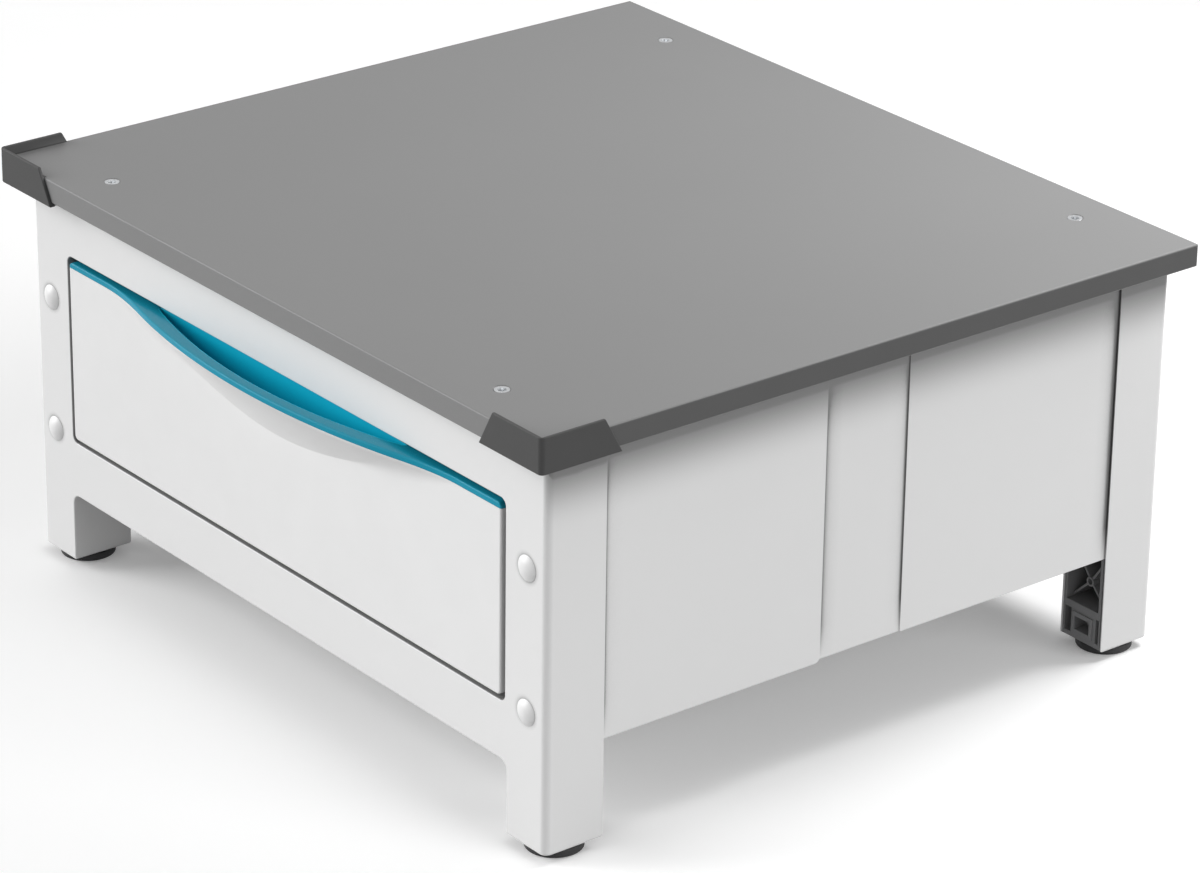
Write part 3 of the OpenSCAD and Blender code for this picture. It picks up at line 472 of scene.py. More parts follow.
FINISHES = (
    Laminate(Slot.BOARD, grey(122)),
    MouldedPlastic(Slot.DARK_EDGE, grey(88), rough=0.5, depth=0.01, spread=0.02, shine=0.2),
    MouldedPlastic(Slot.GUARD, grey(73), rough=0.5, depth=0.02, spread=0.03, shine=0.2),
    PowderCoat(Slot.WHITE_PAINT, grey(229)),
    MouldedPlastic(Slot.WHITE_PLASTIC, grey(231), rough=0.34),
    # teal: its own colour, with the red share raised a little as painted reflection in place of the sheen
    # that its low shine leaves out
    MouldedPlastic(Slot.TEAL, linear(26, 144, 170), rough=0.22, depth=0.002, spread=0.015, shine=0.1),
    # painted light: the pocket's teal is lighter than the band's, standing in for light inside its shade
    MouldedPlastic(Slot.POCKET_LIT_TEAL, linear(10, 178, 206), rough=0.42, depth=0.004, spread=0.015, shine=0.2),
    MouldedPlastic(Slot.CORE, linear(138, 138, 139), rough=0.5, depth=0.02, spread=0.03),
    PlatedSteel(Slot.SLIDE_STEEL, linear(196, 198, 200)),
    PlatedSteel(Slot.ZINC, linear(188, 190, 192), rough=0.28, drawn=(500.0, 500.0, 500.0)),
    Rubber(Slot.RUBBER, linear(38, 38, 39)),
)


# ---------- mesh helpers


def fillet(corners: Sequence[Point], steps: int = 4) -> list[Flat]:
    """Rounds the corners of an open polyline.

    Args:
        corners: pairs of coordinates, each with its corner radius.
        steps: pieces of each rounded corner.

    Returns:
        The points, with steps + 1 of them at each corner that has a radius.
    """
    most = 0.49  # share of a side that one corner may take
    points: list[Flat] = []
    for index, (u, v, radius) in enumerate(corners):
        if radius <= 0 or index in (0, len(corners) - 1):
            points.append((u, v))
            continue
        here = Vector((u, v))
        before = Vector(corners[index - 1][:2]) - here
        after = Vector(corners[index + 1][:2]) - here
        turn = before.angle(after, math.pi) if before.length and after.length else math.pi
        reach = min(radius / max(math.tan(turn / 2), 1e-6), most * before.length, most * after.length)
        start = here + before.normalized() * reach
        end = here + after.normalized() * reach
        for step in range(steps + 1):
            t = step / steps
            point = start * (1 - t) ** 2 + here * (2 * t * (1 - t)) + end * t ** 2
            points.append((point.x, point.y))
    return points


def placed(name: str, data: bpy.types.ID) -> Piece:
    """Makes an object of a mesh, a lamp or a camera and puts it in the scene."""
    piece = bpy.data.objects.new(name, data)
    bpy.context.scene.collection.objects.link(piece)
    return piece


def shaded(name: str, bm: bmesh.types.BMesh, sharp: float = 35.0) -> Piece:
    """Makes a smoothly shaded object of a mesh and weighs its normals by face area.

    Args:
        name: the piece's name.
        bm: its mesh, which is freed.
        sharp: angle in degrees above which an edge stays sharp.

    Returns:
        The object.
    """
    mesh = bpy.data.meshes.new(name)
    bm.to_mesh(mesh)
    bm.free()
    mesh.polygons.foreach_set("use_smooth", [True] * len(mesh.polygons))
    mesh.set_sharp_from_angle(angle=math.radians(sharp))
    piece = placed(name, mesh)
    piece.modifiers.new("weigh", "WEIGHTED_NORMAL").keep_sharp = True
    return piece


class Builder:
    """Collects vertices in millimetres and faces, and makes one mesh object of them."""

    def __init__(self) -> None:
        """Starts empty, with the first material as its ink."""
        self.bm = bmesh.new()
        self.ink = 0

    def points(self, places: Iterable[Sequence[float]]) -> list[Vert]:
        """Adds a vertex at each place in millimetres."""
        return [self.bm.verts.new(Vector(place) * MM) for place in places]

    def face(self, corners: Sequence[Vert]) -> None:
        """Adds a face, leaving out corners that fall together.

        Args:
            corners: its vertices in order.
        """
        kept = [v for k, v in enumerate(corners) if v is not corners[k - 1]]
        if len(set(kept)) == len(kept) and len(kept) > 2:
            self.bm.faces.new(kept).material_index = self.ink

    def strip(self, one: Sequence[Vert], two: Sequence[Vert], closed: bool = False) -> None:
        """Joins two rows of vertices with quads.

        Args:
            one: the first row.
            two: the second row, of the same length.
            closed: whether the rows are rings.
        """
        for k in range(0 if closed else 1, len(one)):
            self.face((one[k - 1], one[k], two[k], two[k - 1]))

    def sheet(self, rows: Sequence[Sequence[Vert]], closed: bool = False) -> None:
        """Joins rows of vertices in order."""
        for one, two in zip(rows, rows[1:]):
            self.strip(one, two, closed)

    def bar(self, one: Sequence[Vert], two: Sequence[Vert]) -> None:
        """Joins two rings of vertices and closes both ends."""
        self.strip(one, two, closed=True)
        self.face(one)
        self.face(two)

    def prism(self, outline: Sequence[Flat], low: float, high: float) -> None:
        """Extrudes an outline of y and z from low to high along x."""
        self.bar(*(self.points((x, y, z) for y, z in outline) for x in (low, high)))

    def lathe(self, profile: Sequence[Flat], centre: Point, axis: Point = (0, 0, 1), count: int = 48) -> None:
        """Turns a profile about an axis.

        Args:
            profile: radius and height of each point, from the first end to the last.
            centre: where height is 0.
            axis: direction of the height.
            count: points round the axis.
        """
        self.rings([([radius] * count, height) for radius, height in profile], centre, axis)

    def rings(self, levels: Sequence[tuple[Sequence[float], float]], centre: Point, axis: Point) -> None:
        """Joins rings whose radius may change with the angle, and closes both ends.

        Args:
            levels: each ring's radius at each angle, and its height.
            centre: where height is 0.
            axis: direction of the height.
        """
        turn = Vector(axis).to_track_quat("Z", "Y").to_matrix()
        middle = Vector(centre)
        made = []
        for ring, height in levels:
            count = len(ring)
            if max(ring) <= 0:
                made.append(self.points([middle + turn @ Vector((0, 0, height))]) * count)
                continue
            angles = [2 * math.pi * k / count for k in range(count)]
            made.append(self.points(
                middle + turn @ Vector((radius * math.cos(angle), radius * math.sin(angle), height))
                for radius, angle in zip(ring, angles)
            ))
        self.sheet(made, closed=True)
        for ring in (made[0], made[-1]):
            if ring[0] is not ring[1]:
                self.face(ring)

    def finish(self, name: str) -> Piece:
        """Makes the object, with its faces turned outwards."""
        bmesh.ops.recalc_face_normals(self.bm, faces=self.bm.faces)
        return shaded(name, self.bm)


def eased(node: str, edge: float, bend: float) -> Piece:
    """A copy of a node's solid with its edges eased as a press or a mould leaves them.

    Args:
        node: the CAD node.
        edge: width of the eased edges in millimetres.
        bend: width at edges between two broad faces, or 0 for the same as edge.

    Returns:
        The new piece.
    """
    same_place, nearly_flat, outer, broad, round_from = 1e-6, 0.4, 30, 2.5 * MM, 0.4
    bm = bmesh.new()
    bm.from_mesh(frame["nodes"][node].data)
    bmesh.ops.remove_doubles(bm, verts=bm.verts, dist=same_place)
    bmesh.ops.dissolve_limit(bm, angle_limit=math.radians(nearly_flat), verts=bm.verts, edges=bm.edges)

    def outer_edges() -> list[bmesh.types.BMEdge]:
        """The mesh's edges at outer corners."""
        return [e for e in bm.edges if e.is_manifold and e.calc_face_angle_signed(0) > math.radians(outer)]

    def wide(e: bmesh.types.BMEdge) -> bool:
        """Whether both faces of the edge are broad."""
        return all(f.calc_area() > broad * e.calc_length() for f in e.link_faces)

    def ease(width: float, chosen: list[bmesh.types.BMEdge]) -> None:
        """Eases the chosen edges."""
        if chosen and width > 0:
            bmesh.ops.bevel(
                bm, geom=chosen, offset=width * MM, offset_type="OFFSET", profile=0.5, affect="EDGES",
                segments=3 if width > round_from else 2, clamp_overlap=False, loop_slide=True,
            )
        bmesh.ops.dissolve_degenerate(bm, dist=same_place / 10, edges=bm.edges)

    ease(bend, [e for e in outer_edges() if wide(e)] if bend else [])
    ease(edge, outer_edges())
    return shaded(node + "_eased", bm)


class Recess(Enum):
    """Shape of the drive in a screw's head."""

    CROSS = "cross"
    HEX = "hex"

    def radius(self, size: float, angle: float, arm_share: float = 0.32) -> float:
        """Distance from the middle to the recess's rim.

        Args:
            size: half its width across.
            angle: direction in radians.
            arm_share: width of the cross's arms as a share of its width across.

        Returns:
            The distance.
        """
        part = math.pi / (3 if self is Recess.HEX else 2)
        turn = (angle + part / 2) % part - part / 2
        if self is Recess.HEX:
            return size / math.cos(turn)
        arm = arm_share * size
        return size / math.cos(turn) if abs(turn) <= math.atan2(arm, size) else arm / math.sin(abs(turn))


@dataclass(frozen=True)
class ScrewShape:
    """A screw: its head stands from height 0 upwards and its shank hangs below.

    A cone's head is countersunk, with its top at height 0.
    """

    head_r: float
    head_h: float
    shank_r: float
    shank_l: float
    recess_r: float
    recess_d: float
    recess: Recess = Recess.CROSS
    cone: bool = False
    tip: float = 0.5
    rim: float = 0.25
    count: int = 48

    def outline(self, top: float) -> list[Flat]:
        """The screw's profile from its tip to the rim of the head's top.

        Args:
            top: height of the head's top.

        Returns:
            Radius and height of each point.
        """
        low = top - self.head_h
        end = low - self.shank_l
        shank, head = self.shank_r, self.head_r
        neck = shank + 0.02 if self.cone else head - self.rim
        points = [(0.0, end), (shank - self.tip, end), (shank, end + self.tip)]
        points += [(shank, low - 0.01), (neck, low)]
        if self.cone:
            return points + [(head - 0.12, top - 0.2), (head, top - 0.08), (head - 0.12, top)]
        points += [(head, low + self.rim), (head, top * 0.55), (head - 0.18, top * 0.78)]
        return points + [(head * 0.8, top - 0.105)]

    def add(self, builder: Builder, centre: Point, axis: Point) -> None:
        """Adds the screw to a builder.

        Args:
            builder: where it goes.
            centre: middle of the head's underside, or of its flush top where it is a cone.
            axis: direction in which the head faces.
        """
        top = 0.0 if self.cone else self.head_h
        levels = [([radius] * self.count, height) for radius, height in self.outline(top)]
        shape = [self.recess.radius(self.recess_r, 2 * math.pi * k / self.count) for k in range(self.count)]
        deep = self.recess_d
        for share, drop in ((1.12, 0.0), (1.0, 0.12), (0.8, deep), (0.3, deep * 1.05), (0.0, deep * 1.1)):
            levels.append(([share * radius for radius in shape], top - drop))
        builder.rings(levels, centre, axis)


# ---------- assemblies


def size_of(node: str) -> tuple[Vector, Vector]:
    """The lowest and the highest corner of a node in millimetres."""
    low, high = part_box(node)
    return Vector(low) / MM, Vector(high) / MM


def node_body(node: str) -> str:
    """The body that a node rides on."""
    return body_of(frame["nodes"][node])[0]


def sides(stem: str) -> tuple[str, str]:
    """The left and the right node of a pair."""
    return stem + "_left", stem + "_right"


@dataclass
class Assembly:
    """A group of pieces and the materials they draw on."""

    paints: dict[Slot, bpy.types.Material]
    title: str = "assembly"
    made: list[Piece] = field(default_factory=list)

    def keep(self, piece: Piece, slot: Slot, *nodes: str, body: str = "", second: Slot | None = None) -> None:
        """Dresses a piece and ties it to the frame.

        Args:
            piece: the new piece.
            slot: its finish.
            nodes: the CAD nodes that it stands for.
            body: the body that it rides on, or empty for the first node's.
            second: finish of the faces drawn with ink 1.
        """
        for each in (slot, second) if second else (slot,):
            piece.data.materials.append(self.paints[each])
        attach(piece, body or node_body(nodes[0]))
        if nodes:
            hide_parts(*nodes)
        self.made.append(piece)

    def ease(self, slot: Slot, nodes: Iterable[str], edge: float, bend: float = 0.0) -> None:
        """Keeps an eased copy of each node.

        Args:
            slot: their finish.
            nodes: the CAD nodes.
            edge: width of the eased edges.
            bend: width at edges between broad faces.
        """
        for node in nodes:
            self.keep(eased(node, edge, bend), slot, node)

    def drive(self, shape: ScrewShape, node: str, places: Iterable[Point], axis: Point) -> None:
        """Keeps a group of screws.

        Args:
            shape: their shape.
            node: the CAD node that they stand for.
            places: where each screw's head sits.
            axis: direction in which the heads face.
        """
        screws = Builder()
        for place in places:
            shape.add(screws, place, axis)
        self.keep(screws.finish(node + "_driven"), Slot.ZINC, node)

    def build(self) -> None:
        """Builds the pieces."""
        raise NotImplementedError

    def run(self) -> None:
        """Builds the assembly and reports each piece."""
        self.build()
        for piece in self.made:
            finish = piece.data.materials[0].name
            log.info("%s: %s, %d faces, %s", self.title, piece.name, len(piece.data.polygons), finish)


@dataclass
class TopBoard(Assembly):
    """The board with its guards, screws and nuts."""

    title: str = "top board"
    screw_places: tuple[Flat, ...] = ((-217, -233), (217, -233), (-217, 245), (217, 245))
    screw: ScrewShape = ScrewShape(
        head_r=5.1, head_h=3.0, shank_r=2.5, shank_l=23.7, recess_r=2.7, recess_d=2.6, recess=Recess.HEX,
        cone=True,
    )
    screw_sunk: float = 0.3
    guard_screw_places: tuple[Flat, ...] = ((265, -260), (294.5, -231), (-265, -260), (-294.5, -231))
    guard_screw: ScrewShape = ScrewShape(
        head_r=2.8, head_h=1.4, shank_r=1.5, shank_l=10.0, recess_r=1.5, recess_d=0.9,
    )
    guard_top_len: float = 49.0
    guard_bottom_len: float = 62.5
    guard_gap: float = 0.15
    band_t: float = 0.35
    band_inset: float = 0.8
    band_edge: float = 0.25
    band_root: float = 0.2

    def build(self) -> None:
        """Builds the board, the guards and their fasteners."""
        self.ease(Slot.BOARD, ["top_board"], edge=0.3)
        self.dark_edge_strips()
        self.ease(Slot.GUARD, sides("corner_guard"), edge=0.4, bend=0.7)
        top = size_of("top_board")[1].z - self.screw_sunk
        self.drive(self.screw, "board_screws", [(x, y, top) for x, y in self.screw_places], (0, 0, 1))
        self.ease(Slot.ZINC, ["board_nuts"], edge=0.3)
        low = size_of("corner_guard_left")[0].z
        places = [(x, y, low) for x, y in self.guard_screw_places]
        self.drive(self.guard_screw, "guard_screws", places, (0, 0, -1))

    def dark_edge_strips(self) -> None:
        """Builds dark strips on the board's side and back edges."""
        board_low, board_high = size_of("top_board")
        guard_low, guard_high = size_of("corner_guard_right")
        z0, z1 = board_low.z + self.band_inset, board_high.z - self.band_inset
        thick, root, soft = self.band_t, self.band_root, self.band_edge
        section = [(-root, z0), (thick - soft, z0), (thick, z0 + soft)]
        section += [(thick, z1 - soft), (thick - soft, z1), (-root, z1)]

        def guard_end(z: float) -> float:
            """y of the guard's slanting end at a height."""
            share = (z - guard_low.z) / (guard_high.z - guard_low.z)
            length = self.guard_bottom_len + (self.guard_top_len - self.guard_bottom_len) * share
            return guard_low.y + length + self.guard_gap

        bands = Builder()
        far_x, far_y = board_high.x - self.band_inset, board_high.y - self.band_inset
        for side in (-1, 1):
            near = bands.points((side * (board_high.x + out), guard_end(z), z) for out, z in section)
            bands.bar(near, bands.points((side * (board_high.x + out), far_y, z) for out, z in section))
        bands.bar(*(bands.points((x, board_high.y + out, z) for out, z in section) for x in (-far_x, far_x)))
        self.keep(bands.finish("board_dark_edge_strips"), Slot.DARK_EDGE, body=node_body("top_board"))


@dataclass
class Carcass(Assembly):
    """Frames, side sheets, leg cores and the fasteners that hold them."""

    title: str = "carcass"
    screw: ScrewShape = ScrewShape(
        head_r=4.5, head_h=2.0, shank_r=2.0, shank_l=18.0, recess_r=2.2, recess_d=1.4,
    )
    screw_x: float = 268.0
    screw_z: Flat = (100.0, 198.5)
    rear_face: float = 266.0

    def build(self) -> None:
        """Builds the pieces that stand still below the board."""
        self.ease(Slot.WHITE_PAINT, ("front_frame", "rear_frame"), edge=0.3, bend=1.0)
        self.ease(Slot.WHITE_PAINT, sides("side_sheet_front") + sides("side_sheet_rear"), edge=0.35)
        self.ease(Slot.CORE, sides("leg_core_front") + sides("leg_core_rear"), edge=0.3)
        self.ease(Slot.ZINC, ["frame_screws_front", "foot_inserts"], edge=0.2)
        self.ease(Slot.WHITE_PLASTIC, ["screw_caps"], edge=0.25)
        places = [(x, self.rear_face, z) for x in (-self.screw_x, self.screw_x) for z in self.screw_z]
        self.drive(self.screw, "frame_screws_rear", places, (0, 1, 0))


@dataclass
class Runners(Assembly):
    """Carrier rails, telescopic slides, ball cages and their fasteners."""

    title: str = "runners"

    def build(self) -> None:
        """Builds the rails, slides and cages."""
        for part in ("carrier_rail", "slide_outer", "slide_middle", "slide_inner"):
            self.ease(Slot.SLIDE_STEEL, sides(part), edge=0.15)
        for part in ("cage_outer", "cage_inner"):
            self.ease(Slot.SLIDE_STEEL, sides(part), edge=0.0)
        self.ease(Slot.ZINC, ("carrier_screws", "slide_rivets", "drawer_slide_rivets"), edge=0.2)


@dataclass
class DrawerBox(Assembly):
    """The sheet steel box behind the drawer front."""

    title: str = "drawer box"

    def build(self) -> None:
        """Builds the box and its fasteners."""
        walls = ("drawer_front_plate", "drawer_back", "drawer_bottom") + sides("drawer_side")
        self.ease(Slot.WHITE_PAINT, walls, edge=0.18)
        self.ease(Slot.ZINC, ("drawer_front_screws", "drawer_back_rivets"), edge=0.2)


@dataclass(frozen=True)
class LipShape:
    """How far the drawer's face stands out, from the hollow sweep up to the nose and the band.

    The section in the middle is a hollow arc of radius sweep_r about (sweep_p, sweep_z), with a
    round nose of radius nose_r above it. Along x it falls back with the bow, which reaches the
    face at half. The blend with the face is crisp in the middle and melts away from there.
    """

    face_y: float = -253.0
    reach: float = 25.0
    half: float = 174.5
    sweep_r: float = 110.0
    sweep_p: float = 100.647
    sweep_z: float = 148.11
    nose_r: float = 1.0
    nose_z: float = 228.4
    start_z: float = 192.5
    start_room: float = 12.0
    crisp: float = 0.12
    melt: float = 7.5
    melt_from: float = 75.0
    melt_room: float = 15.0

    @property
    def bow_r(self) -> float:
        """Radius of the bow seen from above."""
        return (self.half ** 2 + self.reach ** 2) / (2 * self.reach)

    def drop(self, x: float) -> float:
        """How far the bow has fallen back at x."""
        return self.bow_r - math.sqrt(self.bow_r ** 2 - min(abs(x), 0.9 * self.bow_r) ** 2)

    def section(self, z: float, inset: float = 0.0) -> float:
        """The lip's section in the middle of the drawer.

        Args:
            z: height.
            inset: how far the section is moved inwards.

        Returns:
            The distance before the face, below 0 behind it.
        """
        nose_p = self.reach - self.nose_r
        sweep, nose = self.sweep_r + inset, self.nose_r - inset
        hollow = self.sweep_p - math.sqrt(max(0.0, sweep ** 2 - (z - self.sweep_z) ** 2))
        if nose <= 0:
            return min(self.reach - inset, hollow)
        lean = math.atan2(self.nose_z - self.sweep_z, self.sweep_p - nose_p)
        if z >= self.nose_z:
            return nose_p + nose
        if z > self.sweep_z + sweep * math.sin(lean):
            return nose_p + math.sqrt(max(0.0, nose ** 2 - (self.nose_z - z) ** 2))
        return hollow

    def soft(self, x: float) -> float:
        """Half-width of the blend between lip and face at x."""
        share = (abs(x) - self.melt_from) / (self.half - self.melt_room - self.melt_from)
        share = min(1.0, max(0.0, share))
        return self.crisp + (self.melt - self.crisp) * share * share * (3 - 2 * share)

    def stand(self, x: float, z: float) -> float:
        """Distance of the surface before the face.

        Args:
            x: place along the drawer.
            z: height.

        Returns:
            The distance.
        """
        free = (self.section(z) if z >= self.start_z - self.start_room else -self.reach) - self.drop(x)
        soft = self.soft(x)
        if free >= soft:
            return free
        return 0.0 if free <= -soft else (free + soft) ** 2 / (4 * soft)

    def crease(self, x: float) -> float:
        """Height at which the lip leaves the face."""
        need = min(self.drop(x), self.reach - 1.0)
        return halved(lambda z: self.section(z) < need, self.start_z, self.nose_z)


def halved(holds: Callable[[float], bool], low: float, high: float, rounds: int = 30) -> float:
    """The value up to which a condition holds, found by halving.

    Args:
        holds: the condition.
        low: where the search starts.
        high: where it ends.
        rounds: how often the range is halved.

    Returns:
        The value.
    """
    for _ in range(rounds):
        mid = (low + high) / 2
        low, high = (mid, high) if holds(mid) else (low, mid)
    return low


def arc_fall(radius: float, run: float) -> float:
    """How far a round corner has fallen at a run of 0 to radius from where it starts."""
    return radius - math.sqrt(max(0.0, radius ** 2 - run ** 2))


@dataclass
class DrawerFront(Assembly):
    """The white moulded front, whose face runs out into the handle's lip, and its teal insert."""

    title: str = "drawer front"
    lip: LipShape = LipShape()
    half: float = size_of("drawer_front")[1].x
    low_z: float = size_of("drawer_front")[0].z
    high_z: float = size_of("handle_insert")[1].z
    band_z: float = size_of("drawer_front")[1].z
    back_y: float = size_of("drawer_front")[1].y
    wall: float = 2.8
    corner_r: float = 3.8
    edge_r: float = 1.5
    edge_angles: tuple[float, ...] = (0, 18, 36, 54, 72, 90)
    inner_columns: int = 88
    apart: float = 0.8
    flat_rows: int = 9
    crease_rows: tuple[float, ...] = (-8, -5, -3, -1.8, -1, -0.5, -0.25, 0, 0.25, 0.5, 1)
    lip_rows: int = 22
    band_t: float = 7.5
    band_r: float = 1.3
    band_top: float = 2.6
    band_foot: float = 0.25
    band_rear: float = 0.6
    tub_gap: float = 5.2
    tub_wall: float = 2.5
    tub_tip: float = 145.0
    pocket_back: float = 6.0
    pocket_flat: float = 120.0
    pocket_tip: float = 139.0
    pocket_tip_y: float = 5.0
    pocket_lean: float = 5.5
    pocket_floor: float = 202.8
    pocket_fade: float = 25.0
    pocket_curve: float = 1.6
    pocket_least: float = 1.5
    pocket_r: float = 4.0
    pocket_front: Flat = (0.9, 0.8)
    pocket_rear: Flat = (0.6, 0.5)
    rib_t: float = 2.0
    rib_back: float = 3.0
    rib_low: float = 0.6
    rib_top: float = 1.5
    rib_room: float = 0.5
    rooted: float = 0.8
    boss_bore: float = 1.75
    boss_floor: float = 2.0
    boss_r: float = 5.2
    boss_l: float = 17.0
    screw_x: float = 226.1
    screw_z: Flat = (123.0, 195.0)

    def build(self) -> None:
        """Builds the white front and the teal insert."""
        front, insert = Builder(), Builder()
        self.shell(front)
        self.ribs(front)
        self.bosses(front)
        self.keep(front.finish("drawer_front_shell"), Slot.WHITE_PLASTIC, "drawer_front")
        self.insert(insert)
        # the pocket's faces take the lighter teal, which is painted light
        self.keep(insert.finish("handle_band_and_pocket"), Slot.TEAL, "handle_insert", second=Slot.POCKET_LIT_TEAL)

    def ends(self) -> list[float]:
        """Distances from an edge that round both it and the corners evenly."""
        turns = [1 - math.cos(math.radians(angle)) for angle in self.edge_angles]
        return sorted({round(radius * turn, 4) for radius in (self.edge_r, self.corner_r) for turn in turns})

    def columns(self) -> list[float]:
        """Places of the mesh's columns, close together at the ends."""
        tips = [self.pocket_tip, self.tub_tip]
        step = (self.half - self.corner_r - 2) / self.inner_columns
        inner = [step * k for k in range(self.inner_columns + 1)]
        inner = [x for x in inner if all(abs(x - tip) > self.apart for tip in tips)]
        whole = sorted({self.half - d for d in self.ends()} | set(inner) | set(tips))
        return [-x for x in reversed(whole) if x > 0] + whole

    def heights(self, x: float) -> list[float]:
        """Rows of the face at x: they follow the crease under the lip."""
        low = [self.low_z + d for d in self.ends()]
        crease = self.lip.crease(x)
        start, flat = low[-1], crease + self.crease_rows[0]
        over = crease + self.crease_rows[-1]
        rows = low + [start + (flat - start) * k / self.flat_rows for k in range(1, self.flat_rows)]
        rows += [crease + d for d in self.crease_rows]
        return rows + [over + (self.band_z - over) * k / self.lip_rows for k in range(1, self.lip_rows + 1)]

    def inside(self, x: float, z: float) -> float:
        """Distance from a point of the face to its outline, whose lower corners are round."""
        dx = abs(x) - (self.half - self.corner_r)
        dz = self.low_z + self.corner_r - z
        if dx > 0 and dz > 0:
            return self.corner_r - math.hypot(dx, dz)
        return min(self.half - abs(x), z - self.low_z)

    def rolled(self, distance: float) -> float:
        """How far the rounded edge falls back at a distance from the outline."""
        return arc_fall(self.edge_r, max(0.0, self.edge_r - max(distance, 0.0)))

    def outline_x(self, x: float, z: float) -> float:
        """x moved inwards where the lower corners are round."""
        up = self.low_z + self.corner_r - z
        return x * (self.half - arc_fall(self.corner_r, up)) / self.half if up > 0 else x

    def walls(self, column: float, z: float) -> tuple[Point, Point]:
        """A point of the face and the point behind it on the inner side.

        Args:
            column: place along the drawer.
            z: height.

        Returns:
            The two points.
        """
        lip = self.lip
        x = self.outline_x(column, z)
        stand = lip.stand(x, z)
        step, thickest = 0.2, 2.0
        slope = (lip.stand(x, z + step) - lip.stand(x, z - step)) / (2 * step)
        thick = self.wall * min(thickest, math.hypot(1, slope))
        tall = self.band_z - self.low_z
        y_in = lip.face_y + self.wall - max(0.0, stand - thick + self.wall)
        z_in = self.band_z - (self.band_z - z) * (tall - self.wall) / tall
        return (
            (x, lip.face_y + self.rolled(self.inside(x, z)) - stand, z),
            (x * (self.half - self.wall) / self.half, y_in, z_in),
        )

    def shell(self, builder: Builder) -> None:
        """Adds the front's shell: face, edges, inner side and rim."""
        outer, inner = [], []
        for column in self.columns():
            pairs = [self.walls(column, z) for z in self.heights(column)]
            outer.append(builder.points(face for face, _ in pairs))
            inner.append(builder.points(behind for _, behind in pairs))
        rims = []
        for grid in (outer, inner):
            builder.sheet(grid)
            edge = grid[0][::-1] + [row[0] for row in grid[1:-1]] + grid[-1]
            back = builder.points((v.co.x / MM, self.back_y, v.co.z / MM) for v in edge)
            builder.strip(edge, back)
            rims.append(back)
        builder.strip(*rims)
        top = [[row[-1] for row in grid] for grid in (outer, inner)]
        builder.strip(*top)
        for end in (0, -1):
            builder.face((top[0][end], top[1][end], rims[1][end], rims[0][end]))

    @property
    def root_y(self) -> float:
        """y inside the face's wall where ribs and bosses start."""
        return self.lip.face_y + self.wall - self.rooted

    def ribs(self, builder: Builder) -> None:
        """Adds the ribs on the inner side, cut out round the pocket's tub."""
        front, back = self.root_y, self.back_y - self.rib_back
        low, high = self.low_z + self.wall - self.rib_low, self.band_z - self.rib_top
        notch_y = self.lip.face_y + self.pocket_back + self.tub_wall + self.rib_room
        notch_z = self.pocket_floor - self.tub_wall - self.rib_room
        for k in (-2, -1, 1, 2, 0):
            x = k * (self.half - self.wall) / 3
            notched = [(notch_y, high), (notch_y, notch_z), (front, notch_z)]
            outline = [(front, low), (back, low), (back, high)]
            outline += notched if abs(x) < self.tub_tip else [(front, high)]
            builder.prism(outline, x - self.rib_t / 2, x + self.rib_t / 2)

    def bosses(self, builder: Builder) -> None:
        """Adds the screw bosses on the inner side."""
        bore, floor, root, length = self.boss_bore, self.boss_floor, self.boss_r, self.boss_l
        profile = [(bore, floor), (bore, length), (root - 0.5, length), (root - 0.2, length - 0.3)]
        profile += [(root, 0.0), (0.0, 0.0), (0.0, floor)]
        for side in (-1, 1):
            for z in self.screw_z:
                builder.lathe(profile, (side * self.screw_x, self.root_y, z), (0, 1, 0), count=32)

    def band_front(self, x: float) -> float:
        """y of the band's front at x."""
        return self.lip.face_y + self.rolled(self.half - abs(x)) - self.lip.stand(x, self.band_z)

    def top_at(self, x: float) -> float:
        """Height of the band's upper side, which falls at the round corners."""
        return self.high_z - arc_fall(self.corner_r, max(0.0, abs(x) - (self.half - self.corner_r)))

    def rear_wall(self, x: float) -> float:
        """y of the pocket's rear wall at x, which comes forward to the tips."""
        past = (abs(x) - self.pocket_flat) / (self.pocket_tip - self.pocket_flat)
        curve = max(0.0, past) ** self.pocket_curve
        behind = self.pocket_back + (self.pocket_tip_y - self.pocket_back) * curve
        return self.lip.face_y + behind

    def margin(self, x: float) -> float:
        """How much wider the band's top is at x than in the middle."""
        return self.pocket_lean * (x / self.pocket_tip) ** 2

    def bowl(self, x: float, gap: float, back: float, floor: float, top: float, share: float) -> list[Flat]:
        """Section of the pocket or of the tub round it, from the front edge down and up to the rear.

        Args:
            x: place along the drawer.
            gap: inset of the front wall from the lip's outer surface.
            back: y of the rear wall.
            floor: lowest height.
            top: height of the upper edge.
            share: 1 in the middle and 0 at the tip.

        Returns:
            y and z of the section's points.
        """
        fall = self.lip.reach - self.lip.stand(x, self.band_z) + self.margin(x)
        least = 0.02
        narrowest = self.pocket_least * share + least

        def front(z: float) -> float:
            """y of the front wall."""
            return min(back - least / 2, self.lip.face_y - self.lip.section(z, gap) + fall)

        bottom = halved(lambda z: back - front(z) < narrowest, floor, top, 24)
        bottom = bottom if bottom > floor + least / 2 else floor
        soft = min(self.pocket_r, 0.45 * (back - front(bottom)))
        (land, edge), (rear_land, rear_edge) = self.pocket_front, self.pocket_rear
        corners: list[Point] = [(front(top) - land, top, 0), (front(top), top, edge)]
        corners += [(front(z), z, 0) for z in (top + (bottom - top) * k / 12 for k in range(1, 12))]
        corners += [(front(bottom), bottom, soft), (back, bottom, soft)]
        corners += [(back, bottom + (top - bottom) * k / 4, 0) for k in (1, 2, 3)]
        corners += [(back, top, rear_edge), (back + rear_land, top, 0)]
        return fillet(corners)

